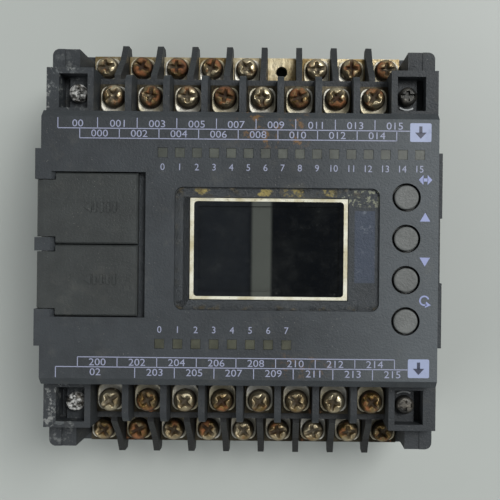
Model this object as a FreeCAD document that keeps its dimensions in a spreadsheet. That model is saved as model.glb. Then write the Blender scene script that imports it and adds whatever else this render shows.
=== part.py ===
import FreeCAD, Part
import os
import re
import Sketcher

# Compact programmable controller with two-tier screw terminals, lying on its back.
# Frame: +Z out of the face, +X to the right, +Y to the input terminals, back on z = 0.

doc = FreeCAD.newDocument("plc_module")

# Driving sizes in millimetres: alias, value, meaning.
SIZES = (
    ("body_width", 78.8, "width over the side panels"),
    ("body_height", 89.0, "height over the tips of the outer barriers"),
    ("body_depth", 40.0, "back to face"),
    ("wall", 2.0, "wall of the mouldings"),
    ("side_panel", 1.1, "raised panel on each side of the case"),
    ("panel_span", 38.0, "length of the side panels"),
    ("face_span", 50.4, "flat of the face between its bevels"),
    ("face_bevel", 1.35, "bevel along the face"),
    ("base_high", 14.0, "height of the rear base"),
    ("deck_high", 9.5, "deck of the base over the rail slot"),
    ("seam", 0.2, "gap between mouldings that stand side by side"),
    ("pitch", 7.62, "spacing of the terminals"),
    ("inner_count", 8, "terminals in an inner row"),
    ("outer_count", 9, "terminals in an outer row"),
    ("empty_terminal", 5, "place in the outer row that has no screw"),
    ("inner_row", 30.7, "centre to inner screws"),
    ("outer_row", 39.15, "centre to outer screws"),
    ("inner_floor", 28.4, "seat of the inner plates"),
    ("outer_floor", 17.8, "seat of the outer plates"),
    ("tier_edge", 35.1, "centre to the step between the tiers"),
    ("barrier", 1.3, "thickness of a barrier"),
    ("end_high", 34.3, "top of the block ends"),
    ("end_long", 9.4, "length of a block end"),
    ("end_reach", 36.0, "centre to the outside of a block end"),
    ("tab_reach", 40.7, "centre to the outside of an end tab"),
    ("tab_high", 30.2, "top of the end tabs"),
    ("tab_long", 3.0, "length of an end tab"),
    ("end_wall", 2.5, "outer wall of a block end"),
    ("pocket_wall", 1.2, "thin walls around a block screw"),
    ("pocket_floor", 31.3, "seat of a block screw"),
    ("block_screw_y", 31.2, "centre line to a block screw"),
    ("block_screw_head", 1.85, "head radius of a block screw"),
    ("block_screw_high", 1.9, "head height of a block screw"),
    ("plate_thick", 0.8, "terminal plate"),
    ("plate_long", 6.2, "terminal plate across the row"),
    ("collar_high", 1.2, "tapped collar under a plate"),
    ("washer_thick", 0.7, "square washer"),
    ("screw_head_high", 1.5, "terminal screw head height"),
    ("screw_core", 1.2, "terminal screw core radius"),
    ("tap_bore", 1.25, "bore of a tapped hole"),
    ("screw_reach", 3.4, "shank below the washer"),
    ("bore_clear", 0.45, "clearance round a shank in a moulding"),
    ("slot_wide", 0.8, "driver slot"),
    ("slot_deep", 0.7, "driver slot"),
    ("lens_long", 39.2, "display lens along X"),
    ("lens_high", 23.4, "display lens along Y"),
    ("lens_x", 7.25, "lens centre"),
    ("lens_thick", 0.7, "lens sheet"),
    ("lens_corner", 1.6, "lens corner radius"),
    ("fit_gap", 0.15, "gap round inserted pieces"),
    ("screen_x", 5.65, "display centre"),
    ("frame_long", 30.5, "display frame along X"),
    ("frame_high", 19.6, "display frame along Y"),
    ("frame_rim", 1.05, "display frame rim"),
    ("frame_drop", 0.25, "display frame top under the lens"),
    ("glass_thick", 1.4, "display glass"),
    ("glass_drop", 0.5, "glass below the frame top"),
    ("key_y", 10.2, "first key centre"),
    ("key_pitch", 7.94, "spacing of the keys"),
    ("key_radius", 2.3, "key cap"),
    ("key_gap", 0.45, "ring gap round a key"),
    ("key_proud", 0.35, "key above the face"),
    ("key_flange", 3.2, "flange that keeps a key in"),
    ("key_travel", 0.4, "key stroke"),
    ("key_dome", 0.3, "rounding of a key cap"),
    ("switch_side", 5.2, "switch under a key"),
    ("input_lamps", 16, "lamp windows by the input terminals"),
    ("output_lamps", 8, "lamp windows by the output terminals"),
    ("lamp_side", 1.9, "lamp window"),
    ("input_lamp_in", 1.2, "first input lamp from the wall of the port bay"),
    ("input_lamp_pitch", 3.3, "spacing of the input lamps"),
    ("output_lamp_in", 0.9, "first output lamp from the wall of the port bay"),
    ("output_lamp_pitch", 3.49, "spacing of the output lamps"),
    ("lamp_y", 18.4, "centre line to the lamp rows"),
    ("lamp_drop", 0.12, "lamp window below the face"),
    ("led_high", 1.0, "lamp chip"),
    ("bay_top", 14.6, "port bay upper edge"),
    ("bay_low", 13.4, "port bay lower edge"),
    ("bay_right", 18.1, "centre to the right edge of the port bay"),
    ("bay_wall", 2.0, "wall beside the port bay"),
    ("finger_gap", 1.5, "gap to lift a cover by"),
    ("bay_floor", 32.0, "floor of the port compartments"),
    ("bay_ledge", 1.5, "ledge that a cover rests on"),
    ("cover_thick", 1.75, "port cover"),
    ("cover_gap", 0.25, "gap round a cover"),
    ("post_long", 1.5, "end hinge posts"),
    ("mid_post", 2.6, "middle hinge post"),
    ("post_chamfer", 0.85, "corner taken off the hinge posts"),
    ("pin_radius", 0.7, "hinge pin"),
    ("pin_inset", 0.6, "end of the hinge pin inside the end posts"),
    ("tongue_clear", 0.8, "room under a cover's barrel"),
    ("cover_edge", 0.3, "bevel round a cover"),
    ("pin_gap", 0.05, "running clearance of the hinge pin"),
    ("jack_long", 13.0, "port jack along X"),
    ("jack_high", 10.8, "port jack along Y"),
    ("mouth_long", 9.8, "mouth of a port jack"),
    ("mouth_high", 6.7, "mouth of a port jack"),
    ("mouth_deep", 6.4, "mouth of a port jack"),
    ("jack_x", -28.0, "port jack centre"),
    ("contact_count", 6, "contacts in a jack"),
    ("contact_pitch", 1.27, "spacing of the jack contacts"),
    ("contact_side", 0.35, "jack contact wire"),
    ("board_thick", 1.6, "circuit boards"),
    ("io_board_z", 10.6, "underside of the terminal board"),
    ("cpu_board_z", 20.0, "underside of the processor board"),
    ("display_board_z", 32.6, "underside of the display board"),
    ("display_board_thick", 1.2, "display board"),
    ("rail_wide", 35.5, "slot for a 35 mm rail"),
    ("rail_deep", 7.5, "slot for a 35 mm rail"),
    ("hook_deep", 1.4, "undercut under the fixed hook"),
    ("hook_reach", 1.4, "undercut under the fixed hook"),
    ("latch_wide", 12.0, "rail latch"),
    ("latch_thick", 3.0, "rail latch"),
    ("latch_z", 3.0, "underside of the rail latch"),
    ("latch_gap", 0.2, "clearance round the rail latch"),
    ("latch_nose", 1.6, "latch reach into the rail slot"),
    ("latch_tab", 3.0, "pull tab past the base"),
    ("pin_side", 0.64, "header pins"),
    ("pin_high", 4.0, "header pins above their strip"),
    ("base_thread", 5.0, "block screw in the base"),
    ("collar_wall", 0.6, "wall of the tapped collar"),
    ("inner_barrier_round", 2.4, "rounded corner of the inner barriers"),
    ("outer_barrier_high", 27.0, "outer barriers at the step"),
    ("barrier_tip", 19.0, "top of the outer barrier tips"),
    ("end_slot", 1.4, "deep slot beside a block screw"),
    ("end_slot_floor", 29.5, "floor of that slot"),
    ("header_long", 60.0, "block header"),
    ("header_wide", 5.0, "block header"),
    ("expansion_long", 26.0, "expansion connector"),
    ("expansion_high", 6.0, "expansion connector"),
    ("expansion_deep", 4.5, "expansion connector"),
    ("expansion_mouth", 3.0, "depth of its slot"),
    ("expansion_end", 1.5, "its walls beside the slot"),
    ("expansion_lip", 2.0, "its walls above and below the slot"),
    ("overrun", 1.0, "overlap that joins two shapes, or clears a cut"),
    ("barrier_reach", 2.2, "barriers past the outer edge of a block"),
    ("block_end_gap", 0.2, "block ends inside the side panels"),
    ("block_screw_in", 5.9, "block screws in from the ends of a block"),
    ("block_inset", 0.8, "base inside the outer edge of a block"),
    ("board_gap", 0.6, "gap round the boards"),
    ("plate_gap", 0.11, "gap between a plate and a barrier"),
    ("washer_margin", 0.1, "washer inside its plate"),
    ("head_margin", 0.15, "screw head inside its washer"),
    ("key_in", 7.3, "keys in from the right side"),
    ("key_count", 4, "keys in the column"),
    ("key_rise", 0.5, "part of a key cap inside its flange"),
    ("key_flange_thick", 0.8, "flange that keeps a key in"),
    ("key_stem", 1.5, "plunger radius"),
    ("key_clear", 0.1, "room left under a plunger at the end of its stroke"),
    ("switch_high", 1.4, "switch case"),
    ("switch_stem", 1.3, "switch stem radius"),
    ("switch_stem_high", 0.8, "switch stem"),
    ("post_margin", 0.3, "hinge posts past the barrel of a cover"),
    ("barrel_inset", 0.05, "barrel inside the side panel"),
    ("lens_shy", 0.1, "lens below the face"),
    ("window_gap", 0.1, "gap across a lamp window or the display glass"),
    ("led_long", 1.6, "lamp chip"),
    ("led_wide", 0.8, "lamp chip"),
    ("jack_key_long", 3.0, "keyway of a jack"),
    ("jack_key_deep", 2.0, "keyway of a jack"),
    ("contact_drop", 0.6, "contacts below the top of a jack"),
    ("end_round", 1.4, "outer corners of the end tabs"),
    ("outer_barrier_flat", 1.2, "level part of an outer barrier"),
    ("barrier_shoulder", 1.5, "shoulder of an outer barrier from the block edge"),
    ("shoulder_rise", 2.6, "that shoulder above the barrier tip"),
    ("barrier_under", 1.6, "barrier tip below the outer plates"),
    ("barrier_heel", 0.6, "foot of an outer barrier above the base"),
    ("board_hole", 1.6, "screw hole in a board"),
    ("foot_in", 5.7, "standoffs in from the ends of the boards"),
    ("foot_y", 10.0, "centre line to the standoffs"),
    ("foot_radius", 2.2, "standoff"),
    ("cpu_hole_x", 8.0, "left screws of the processor board"),
    ("cpu_hole_y", 20.0, "screws of the processor board"),
    ("cpu_hole_in", 2.7, "right screw in from the end of the board"),
    ("lower_link_x", 24.0, "connector between the lower boards"),
    ("lower_link_long", 20.0, "connector between the lower boards"),
    ("lower_link_wide", 5.0, "connector between the lower boards"),
    ("upper_link_x", 26.0, "connector between the upper boards"),
    ("upper_link_y", 20.0, "connector between the upper boards"),
    ("upper_link_long", 18.0, "connector between the upper boards"),
    ("upper_link_wide", 3.5, "connector between the upper boards"),
    ("chip_x", 8.0, "processor and memory"),
    ("cpu_y", 4.0, "processor"),
    ("cpu_side", 14.0, "processor"),
    ("cpu_high", 1.6, "processor"),
    ("memory_y", 12.0, "memory, below the centre line"),
    ("memory_long", 10.0, "memory"),
    ("memory_wide", 6.0, "memory"),
    ("memory_high", 1.4, "memory"),
    ("parts_row", 18.0, "centre line to the driver and coupler rows"),
    ("driver_count", 4, "output drivers"),
    ("driver_x", -20.0, "first output driver"),
    ("driver_pitch", 11.0, "spacing of the output drivers"),
    ("driver_long", 8.0, "output driver"),
    ("driver_wide", 5.0, "output driver"),
    ("driver_high", 1.5, "output driver"),
    ("coupler_count", 6, "input couplers"),
    ("coupler_x", -24.0, "first input coupler"),
    ("coupler_pitch", 9.0, "spacing of the input couplers"),
    ("coupler_long", 5.5, "input coupler"),
    ("coupler_wide", 4.6, "input coupler"),
    ("coupler_high", 2.2, "input coupler"),
    ("can_count", 2, "power capacitors"),
    ("can_x", -22.0, "first power capacitor"),
    ("can_pitch", 9.0, "spacing of the power capacitors"),
    ("can_radius", 3.1, "power capacitor"),
    ("can_high", 6.6, "power capacitor"),
    ("choke_x", -2.0, "power inductor"),
    ("choke_side", 8.0, "power inductor"),
    ("choke_high", 5.0, "power inductor"),
    ("header_pins", 16, "pins of a block header"),
)

# Sizes that fit to others: alias, formula, meaning.
FITTED = (
    ("block_edge", "body_height / 2 - barrier_reach", "centre to the outer edge of a block"),
    ("block_width", "body_width - 2 * block_end_gap", "length of a terminal block"),
    ("block_screw_x", "block_width / 2 - block_screw_in", "centre to a block screw"),
    ("plate_wide", "pitch - barrier - 2 * plate_gap", "terminal plate along the row"),
    ("washer_side", "plate_wide - 2 * washer_margin", "square washer"),
    ("screw_head", "washer_side / 2 - head_margin", "terminal screw head radius"),
    ("key_x", "body_width / 2 - key_in", "key centre"),
    ("input_lamp_x", "bay_wall - bay_right + input_lamp_in", "first input lamp"),
    ("output_lamp_x", "bay_wall - bay_right + output_lamp_in", "first output lamp"),
    ("post_wide", "2 * cover_thick + post_margin", "hinge posts across the axis"),
    ("switch_top", "display_board_z + display_board_thick + switch_high + switch_stem_high",
     "top of the switch stems"),
)

sheet = doc.addObject("Spreadsheet::Sheet", "Sizes")
for row, (alias, number, meaning) in enumerate(SIZES + FITTED, start=1):
    sheet.set(f"A{row}", f"={number}")
    sheet.setAlias(f"A{row}", alias)
    sheet.set(f"B{row}", meaning)
    doc.recompute()

ALIAS = re.compile(r"\b(" + "|".join(size[0] for size in SIZES + FITTED) + r")\b")
NODES = []
UP = FreeCAD.Vector(0, 0, 1)
SMALL = 1e-4
RIM_SHARE = 0.45
FIRST_TURN = 25
NEXT_TURN = 47

# Places worked out from the driving sizes.
HALF_X = "(body_width / 2 - side_panel)"
CASE_Y = "(face_span / 2 + face_bevel)"
BLOCK_Y = f"({CASE_Y} + seam)"
BLOCK_X = "(block_width / 2)"
SKIN = "(body_depth - wall)"
BASE_Y = "(block_edge - block_inset)"
BOARD_X = f"({HALF_X} - wall - board_gap)"
BOARD_Y = f"({CASE_Y} - wall - board_gap)"
CPU_TOP = "(cpu_board_z + board_thick)"
IO_TOP = "(io_board_z + board_thick)"
DISPLAY_TOP = "(display_board_z + display_board_thick)"
HINGE_X = "(cover_thick - body_width / 2 + barrel_inset)"
HINGE_Z = "(body_depth - cover_thick)"
BAY_MID = "((bay_top - bay_low) / 2)"
POST_X = "(post_wide - body_width / 2)"
LENS_Z = "(body_depth - lens_thick)"
FRAME_TOP = f"({LENS_Z} - frame_drop)"
END_INNER = f"({BLOCK_X} - end_long)"
END_POCKET = f"({BLOCK_X} - end_wall)"
HEADER_TOP = "(base_high - fit_gap)"
FOOT_X = f"({BOARD_X} - foot_in)"
FEET = [(f"{x}{FOOT_X}", f"{y}foot_y") for x in ("", "-") for y in ("", "-")]
BLOCK_SCREWS = [(f"{x}block_screw_x", f"{y}block_screw_y") for x in ("", "-") for y in ("", "-")]


def scoped(expression):
    """Size expression with each alias read from the sheet."""
    return ALIAS.sub(r"Sizes.\1", expression)


def value(expression):
    """Number that a size expression gives."""
    return float(sheet.evalExpression(scoped(expression)))


def bind(item, prop, expression):
    """Ties a property to the sheet."""
    item.setExpression(prop, scoped(expression))


def label(item, name):
    """Names a sub-part, which is written to its own file."""
    item.Label = name
    NODES.append(item)
    return item


def box(name, xs, ys, zs):
    """Block between two places on each axis, each given as a size expression."""
    item = doc.addObject("Part::Box", name)
    for (low, high), prop, axis in zip((xs, ys, zs), ("Length", "Width", "Height"), "xyz"):
        bind(item, prop, f"{high} - ({low})")
        bind(item, f"Placement.Base.{axis}", low)
    return item


def middle_box(name, centre, sides, zs):
    """Block centred on a point of the XY plane."""
    spans = [(f"{c} - ({d}) / 2", f"{c} + ({d}) / 2") for c, d in zip(centre, sides)]
    return box(name, spans[0], spans[1], zs)


def cylinder(name, centre, radius, zs):
    """Upright cylinder."""
    item = doc.addObject("Part::Cylinder", name)
    bind(item, "Radius", radius)
    bind(item, "Height", f"{zs[1]} - ({zs[0]})")
    for axis, place in zip("xyz", (*centre, zs[0])):
        bind(item, f"Placement.Base.{axis}", place)
    return item


def fuse(name, pieces):
    """Union of several shapes."""
    item = doc.addObject("Part::MultiFuse", name)
    item.Shapes = pieces
    return item


def cut(name, base, tools):
    """Base with the tools taken away."""
    tool = tools[0] if len(tools) == 1 else fuse(f"{name}_tools", tools)
    item = doc.addObject("Part::Cut", name)
    item.Base = base
    item.Tool = tool
    return item


def group(name, shapes):
    """Several separate solids of one kind, kept together as one sub-part."""
    item = doc.addObject("Part::Feature", name)
    item.Shape = Part.makeCompound(shapes)
    item.Placement = FreeCAD.Placement()
    return label(item, name)


def copies(shape, places):
    """Copies of a shape moved to each place."""
    moved = []
    for place in places:
        copy = shape.copy()
        copy.translate(FreeCAD.Vector(*place))
        moved.append(copy)
    return moved


def block(x, y, z, dx, dy, dz):
    """Plain block centred on x and y and standing on z, in numbers."""
    return Part.makeBox(dx, dy, dz, FreeCAD.Vector(x - dx / 2, y - dy / 2, z))


def new_body(name):
    """PartDesign body that becomes one sub-part."""
    return label(doc.addObject("PartDesign::Body", name), name)


def sketch_on(body, name, role, offset):
    """Sketch on one of the body's own origin planes, moved along its normal."""
    plane = next(item for item in body.Origin.OriginFeatures if item.Role == role)
    sketch = body.newObject("Sketcher::SketchObject", name)
    sketch.AttachmentSupport = [(plane, "")]
    sketch.MapMode = "FlatFace"
    bind(sketch, "AttachmentOffset.Base.z", offset)
    return sketch


def pin_point(sketch, geometry, point, x, y):
    """Ties one point of a sketch to two size expressions."""
    for kind, expression in (("DistanceX", x), ("DistanceY", y)):
        index = sketch.addConstraint(
            Sketcher.Constraint(kind, -1, 1, geometry, point, value(expression)))
        bind(sketch, f"Constraints[{index}]", expression)


def outline(body, name, role, loops, offset="0"):
    """Sketch of closed straight-sided loops through points given as size expressions."""
    sketch = sketch_on(body, name, role, offset)
    for loop in loops:
        corners = [FreeCAD.Vector(value(x), value(y), 0) for x, y in loop]
        first = sketch.GeometryCount
        for index, corner in enumerate(corners):
            follow = corners[(index + 1) % len(corners)]
            sketch.addGeometry(Part.LineSegment(corner, follow), False)
        for index, (x, y) in enumerate(loop):
            before = first + (index - 1) % len(loop)
            sketch.addConstraint(Sketcher.Constraint("Coincident", before, 2, first + index, 1))
            pin_point(sketch, first + index, 1, x, y)
    return sketch


def rectangle(xs, ys):
    """Corners of a rectangle in order."""
    return [(xs[0], ys[0]), (xs[1], ys[0]), (xs[1], ys[1]), (xs[0], ys[1])]


def mirrored(xs):
    """The same span on the other side of the centre."""
    return (f"-({xs[1]})", f"-({xs[0]})")


def circles(body, name, role, centres, radius, offset="0"):
    """Sketch of equal circles."""
    sketch = sketch_on(body, name, role, offset)
    for x, y in centres:
        centre = FreeCAD.Vector(value(x), value(y), 0)
        index = sketch.addGeometry(Part.Circle(centre, UP, value(radius)), False)
        pin_point(sketch, index, 3, x, y)
        ring = sketch.addConstraint(Sketcher.Constraint("Radius", index, value(radius)))
        bind(sketch, f"Constraints[{ring}]", radius)
    return sketch


def pad(body, sketch, length, middle=False, back=False):
    """Adds material on a sketch."""
    item = body.newObject("PartDesign::Pad", f"{sketch.Name}_pad")
    item.Profile = sketch
    bind(item, "Length", length)
    item.Midplane = middle
    item.Reversed = back
    doc.recompute()
    return item


def pocket(body, sketch, length, up=False, middle=False):
    """Takes material away from a sketch, down its normal or up it, and proves that it cut."""
    before = body.Shape.Volume
    item = body.newObject("PartDesign::Pocket", f"{sketch.Name}_pocket")
    item.Profile = sketch
    bind(item, "Length", length)
    item.Reversed = up
    item.Midplane = middle
    doc.recompute()
    if item.Shape.isNull() or item.Shape.Volume >= before:
        raise RuntimeError(f"{item.Name} cuts nothing")
    return item


def row_pattern(body, feature, count, spacing):
    """Repeats a feature along X."""
    item = body.newObject("PartDesign::LinearPattern", f"{feature.Name}_row")
    item.Originals = [feature]
    axis = next(line for line in body.Origin.OriginFeatures if line.Role == "X_Axis")
    item.Direction = (axis, [""])
    bind(item, "Occurrences", count)
    bind(item, "Length", f"(({count}) - 1) * ({spacing})")
    body.Tip = item
    doc.recompute()
    return item


def soften(body, kind, name, size, chosen):
    """Fillet or Chamfer on the edges of the body's tip that pass a test."""
    base = body.Tip
    edges = [f"Edge{i}" for i, edge in enumerate(base.Shape.Edges, start=1) if chosen(edge)]
    item = body.newObject(f"PartDesign::{kind}", name)
    item.Base = (base, edges)
    bind(item, "Radius" if kind == "Fillet" else "Size", size)
    doc.recompute()
    return item


def along(edge, axis):
    """True for a straight edge parallel to an axis."""
    if not isinstance(edge.Curve, Part.Line):
        return False
    return abs(abs(getattr(edge.Curve.Direction, axis)) - 1) < SMALL


def near(a, b):
    """True for two equal lengths."""
    return abs(a - b) < SMALL


def span(expression):
    """Span centred on zero."""
    return (f"-({expression})", f"({expression})")


def rear_base():
    """Back housing: open tray with deep wells, the rail slot and the tunnel of the latch."""
    body = new_body("rear_base")
    pad(body, outline(body, "base_plan", "XY_Plane", [rectangle(span(HALF_X), span(BASE_Y))]),
        "base_high")
    inside = rectangle(span(f"{HALF_X} - wall"), span(f"{BASE_Y} - wall"))
    pocket(body, outline(body, "base_tray", "XY_Plane", [inside], "base_high"),
           "base_high - deck_high")
    well_x = ("latch_wide / 2 + 2 * wall", "block_screw_x - 2 * wall")
    well_y = ("rail_wide / 2 + hook_reach + wall", f"{BASE_Y} - wall")
    wells = [rectangle(x, y) for x in (well_x, mirrored(well_x)) for y in (well_y, mirrored(well_y))]
    pocket(body, outline(body, "base_wells", "XY_Plane", wells, "deck_high"), "deck_high - wall")
    half = "(rail_wide / 2)"
    under = "(rail_deep - hook_deep)"
    rail = [(f"-{half}", "-wall"), (half, "-wall"), (half, under), (f"{half} + hook_reach", under),
            (f"{half} + hook_reach", "rail_deep"), (f"-{half}", "rail_deep")]
    pocket(body, outline(body, "rail_slot", "YZ_Plane", [rail]), "body_width", middle=True)
    tunnel = rectangle(span("latch_wide / 2 + latch_gap"),
                       ("latch_z - latch_gap", "latch_z + latch_thick + latch_gap"))
    pocket(body, outline(body, "latch_tunnel", "XZ_Plane", [tunnel]), "body_height", up=True)
    pocket(body, circles(body, "block_threads", "XY_Plane", BLOCK_SCREWS, "tap_bore", "deck_high"),
           "base_thread + overrun")
    soften(body, "Fillet", "base_corners", "wall / 2",
           lambda edge: along(edge, "z") and near(abs(edge.CenterOfMass.x), value(HALF_X))
           and near(abs(edge.CenterOfMass.y), value(BASE_Y)))


def rail_latch():
    """Sliding rail latch with a bevelled nose and a pull tab with a driver slot."""
    body = new_body("rail_latch")
    nose, tail = "(-(rail_wide / 2) + latch_nose)", f"(-{BASE_Y} - latch_tab)"
    top = "(latch_z + latch_thick)"
    side = [(tail, "latch_z"), (nose, "latch_z"), (nose, f"{top} - latch_nose"),
            (f"{nose} - latch_nose", top), (tail, top)]
    pad(body, outline(body, "latch_side", "YZ_Plane", [side]), "latch_wide", middle=True)
    slot = rectangle(span("latch_wide / 4"), (f"{tail} + slot_wide", f"{tail} + 3 * slot_wide"))
    pocket(body, outline(body, "latch_pull", "XY_Plane", [slot], top), "2 * latch_thick")


def bay_row(top):
    """Y span of a port cover: the upper one, or the lower one."""
    if top:
        return (f"{BAY_MID} + cover_gap / 2", "bay_top - cover_gap")
    return ("-bay_low + cover_gap", f"{BAY_MID} - cover_gap / 2")


def tongue_row(top):
    """Y span between the hinge posts on which a cover turns."""
    if top:
        return (f"{BAY_MID} + mid_post / 2", "bay_top - post_long")
    return ("-bay_low + post_long", f"{BAY_MID} - mid_post / 2")


def front_case():
    """Front housing: face, port bay with hinge posts, and windows for display, keys and lamps."""
    body = new_body("front_case")
    pad(body, outline(body, "case_plan", "XY_Plane", [rectangle(span(HALF_X), span(CASE_Y))],
                      "base_high"), "body_depth - base_high")
    soften(body, "Chamfer", "face_bevels", "face_bevel",
           lambda edge: along(edge, "x") and near(edge.CenterOfMass.z, value("body_depth")))
    panel = rectangle(("-body_width / 2", f"-{HALF_X} + overrun"), span("panel_span / 2"))
    pad(body, outline(body, "left_panel", "XY_Plane", [panel], "base_high"),
        "body_depth - base_high")
    right = rectangle(("-bay_right + bay_wall", f"{HALF_X} - wall"), span(f"{CASE_Y} - wall"))
    pocket(body, outline(body, "hollow_right", "XY_Plane", [right], "base_high"),
           f"{SKIN} - base_high", up=True)
    left = rectangle((f"-{HALF_X} + wall", "-bay_right + bay_wall"), span(f"{CASE_Y} - wall"))
    pocket(body, outline(body, "hollow_left", "XY_Plane", [left], "base_high"),
           "bay_floor - wall - base_high", up=True)

    seats = rectangle((POST_X, "-bay_right"), ("-bay_low", "bay_top"))
    pocket(body, outline(body, "cover_seats", "XY_Plane", [seats], "body_depth"), "cover_thick")
    compartments, tongues, mouths = [], [], []
    for top in (True, False):
        low, high = tongue_row(top)
        compartments.append(rectangle((f"{POST_X} + seam", "-bay_right - finger_gap - overrun"),
                                      (low, high)))
        tongues.append(rectangle(("-body_width / 2 - overrun", f"{POST_X} + seam"), (low, high)))
        middle = f"(({low} + {high}) / 2)"
        mouths.append(rectangle(("jack_x - mouth_long / 2 - fit_gap",
                                 "jack_x + mouth_long / 2 + fit_gap"),
                                (f"{middle} - mouth_high / 2 - fit_gap",
                                 f"{middle} + mouth_high / 2 + fit_gap")))
    pocket(body, outline(body, "compartments", "XY_Plane", compartments, "body_depth"),
           "body_depth - bay_floor")
    pocket(body, outline(body, "tongue_slots", "XY_Plane", tongues, "body_depth"),
           "2 * cover_thick + tongue_clear")
    pocket(body, outline(body, "port_mouths", "XY_Plane", mouths, "bay_floor"),
           "wall + overrun")
    soften(body, "Chamfer", "post_corners", "post_chamfer",
           lambda edge: along(edge, "y") and near(edge.CenterOfMass.z, value("body_depth"))
           and near(edge.CenterOfMass.x, value(POST_X)))
    bore = circles(body, "hinge_bore", "XZ_Plane", [(HINGE_X, HINGE_Z)], "pin_radius + pin_gap",
                   "bay_low - pin_inset + fit_gap")
    pocket(body, bore, "bay_top + bay_low - 2 * pin_inset + 2 * fit_gap")
    port = rectangle(span("expansion_long / 2 + fit_gap"),
                     (f"{CPU_TOP} - fit_gap", f"{CPU_TOP} + expansion_high + fit_gap"))
    pocket(body, outline(body, "expansion_window", "YZ_Plane", [port], HALF_X), "wall + seam")

    lens = rectangle(("lens_x - lens_long / 2 - fit_gap", "lens_x + lens_long / 2 + fit_gap"),
                     span("lens_high / 2 + fit_gap"))
    pocket(body, outline(body, "lens_seat", "XY_Plane", [lens], "body_depth"), "lens_thick")
    soften(body, "Fillet", "lens_seat_corners", "lens_corner",
           lambda edge: along(edge, "z") and near(edge.Length, value("lens_thick"))
           and abs(edge.CenterOfMass.x - value("lens_x")) < value("lens_long / 2 + overrun"))
    window = rectangle(("screen_x - frame_long / 2 - fit_gap", "screen_x + frame_long / 2 + fit_gap"),
                       span("frame_high / 2 + fit_gap"))
    pocket(body, outline(body, "display_window", "XY_Plane", [window], LENS_Z), "2 * wall")
    keys = [("key_x", f"key_y - {index} * key_pitch") for index in range(int(value("key_count")))]
    pocket(body, circles(body, "key_holes", "XY_Plane", keys, "key_radius + key_gap", "body_depth"),
           "2 * wall")
    for kind, row_y in (("input", "lamp_y"), ("output", "-lamp_y")):
        first = rectangle((f"{kind}_lamp_x - lamp_side / 2", f"{kind}_lamp_x + lamp_side / 2"),
                          (f"{row_y} - lamp_side / 2", f"{row_y} + lamp_side / 2"))
        opening = pocket(body, outline(body, f"{kind}_lamp_window", "XY_Plane", [first],
                                       "body_depth"), "2 * wall")
        row_pattern(body, opening, f"{kind}_lamps", f"{kind}_lamp_pitch")


def expansion_side():
    """Connector on the right side under its snap-on cover."""
    cover = box("expansion_shell", (HALF_X, "body_width / 2"), span("panel_span / 2"),
                ("base_high + seam", "body_depth - wall"))
    notch = middle_box("expansion_grip", ("body_width / 2", "0"), ("side_panel", "panel_span / 3"),
                       ("body_depth - 2 * wall", "body_depth"))
    label(cut("expansion_shell_cut", cover, [notch]), "expansion_cover")
    inner = f"({HALF_X} - wall)"
    socket = box("socket_block", (f"{inner} - expansion_deep", inner), span("expansion_long / 2"),
                 (CPU_TOP, f"{CPU_TOP} + expansion_high"))
    slot = box("socket_slot", (f"{inner} - expansion_mouth", f"{inner} + overrun"),
               span("expansion_long / 2 - expansion_end"),
               (f"{CPU_TOP} + expansion_lip", f"{CPU_TOP} + expansion_high - expansion_lip"))
    label(cut("socket_cut", socket, [slot]), "expansion_connector")


def port_cover(name, top):
    """Hinged lid: plate, barrel round the hinge pin, raised grip arrow and finger lip."""
    body = new_body(name)
    low, high = bay_row(top)
    tongue_low, tongue_high = tongue_row(top)
    tongue_low, tongue_high = f"({tongue_low} + fit_gap)", f"({tongue_high} - fit_gap)"
    edge = "(-bay_right - finger_gap)"
    start = f"({POST_X} + cover_gap)"
    pad(body, outline(body, f"{name}_plate", "XY_Plane", [rectangle((start, edge), (low, high))],
                      HINGE_Z), "cover_thick")
    pad(body, outline(body, f"{name}_tongue", "XY_Plane",
                      [rectangle((HINGE_X, f"{start} + overrun"), (tongue_low, tongue_high))], HINGE_Z),
        "cover_thick")
    barrel = circles(body, f"{name}_barrel", "XZ_Plane", [(HINGE_X, HINGE_Z)], "cover_thick",
                     f"-({tongue_high})")
    pad(body, barrel, f"{tongue_high} - ({tongue_low})")
    bore = circles(body, f"{name}_bore", "XZ_Plane", [(HINGE_X, HINGE_Z)], "pin_radius + pin_gap",
                   f"-({tongue_high}) - overrun")
    pocket(body, bore, f"{tongue_high} - ({tongue_low}) + 2 * overrun", up=True)
    soften(body, "Chamfer", f"{name}_edges", "cover_edge",
           lambda e: near(e.CenterOfMass.z, value("body_depth")) and isinstance(e.Curve, Part.Line)
           and (near(e.CenterOfMass.x, value(edge)) or
                (along(e, "x") and e.Length > value(f"({edge} - ({start})) / 2"))))
    return body


def hinge_pin():
    """Steel pin through the posts and both covers."""
    pin = doc.addObject("Part::Cylinder", "hinge_pin_rod")
    bind(pin, "Radius", "pin_radius")
    bind(pin, "Height", "bay_top + bay_low - 2 * pin_inset")
    pin.Placement.Rotation = FreeCAD.Rotation(FreeCAD.Vector(1, 0, 0), -90)
    bind(pin, "Placement.Base.x", HINGE_X)
    bind(pin, "Placement.Base.y", "-bay_low + pin_inset")
    bind(pin, "Placement.Base.z", HINGE_Z)
    label(pin, "cover_hinge_pin")


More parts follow.
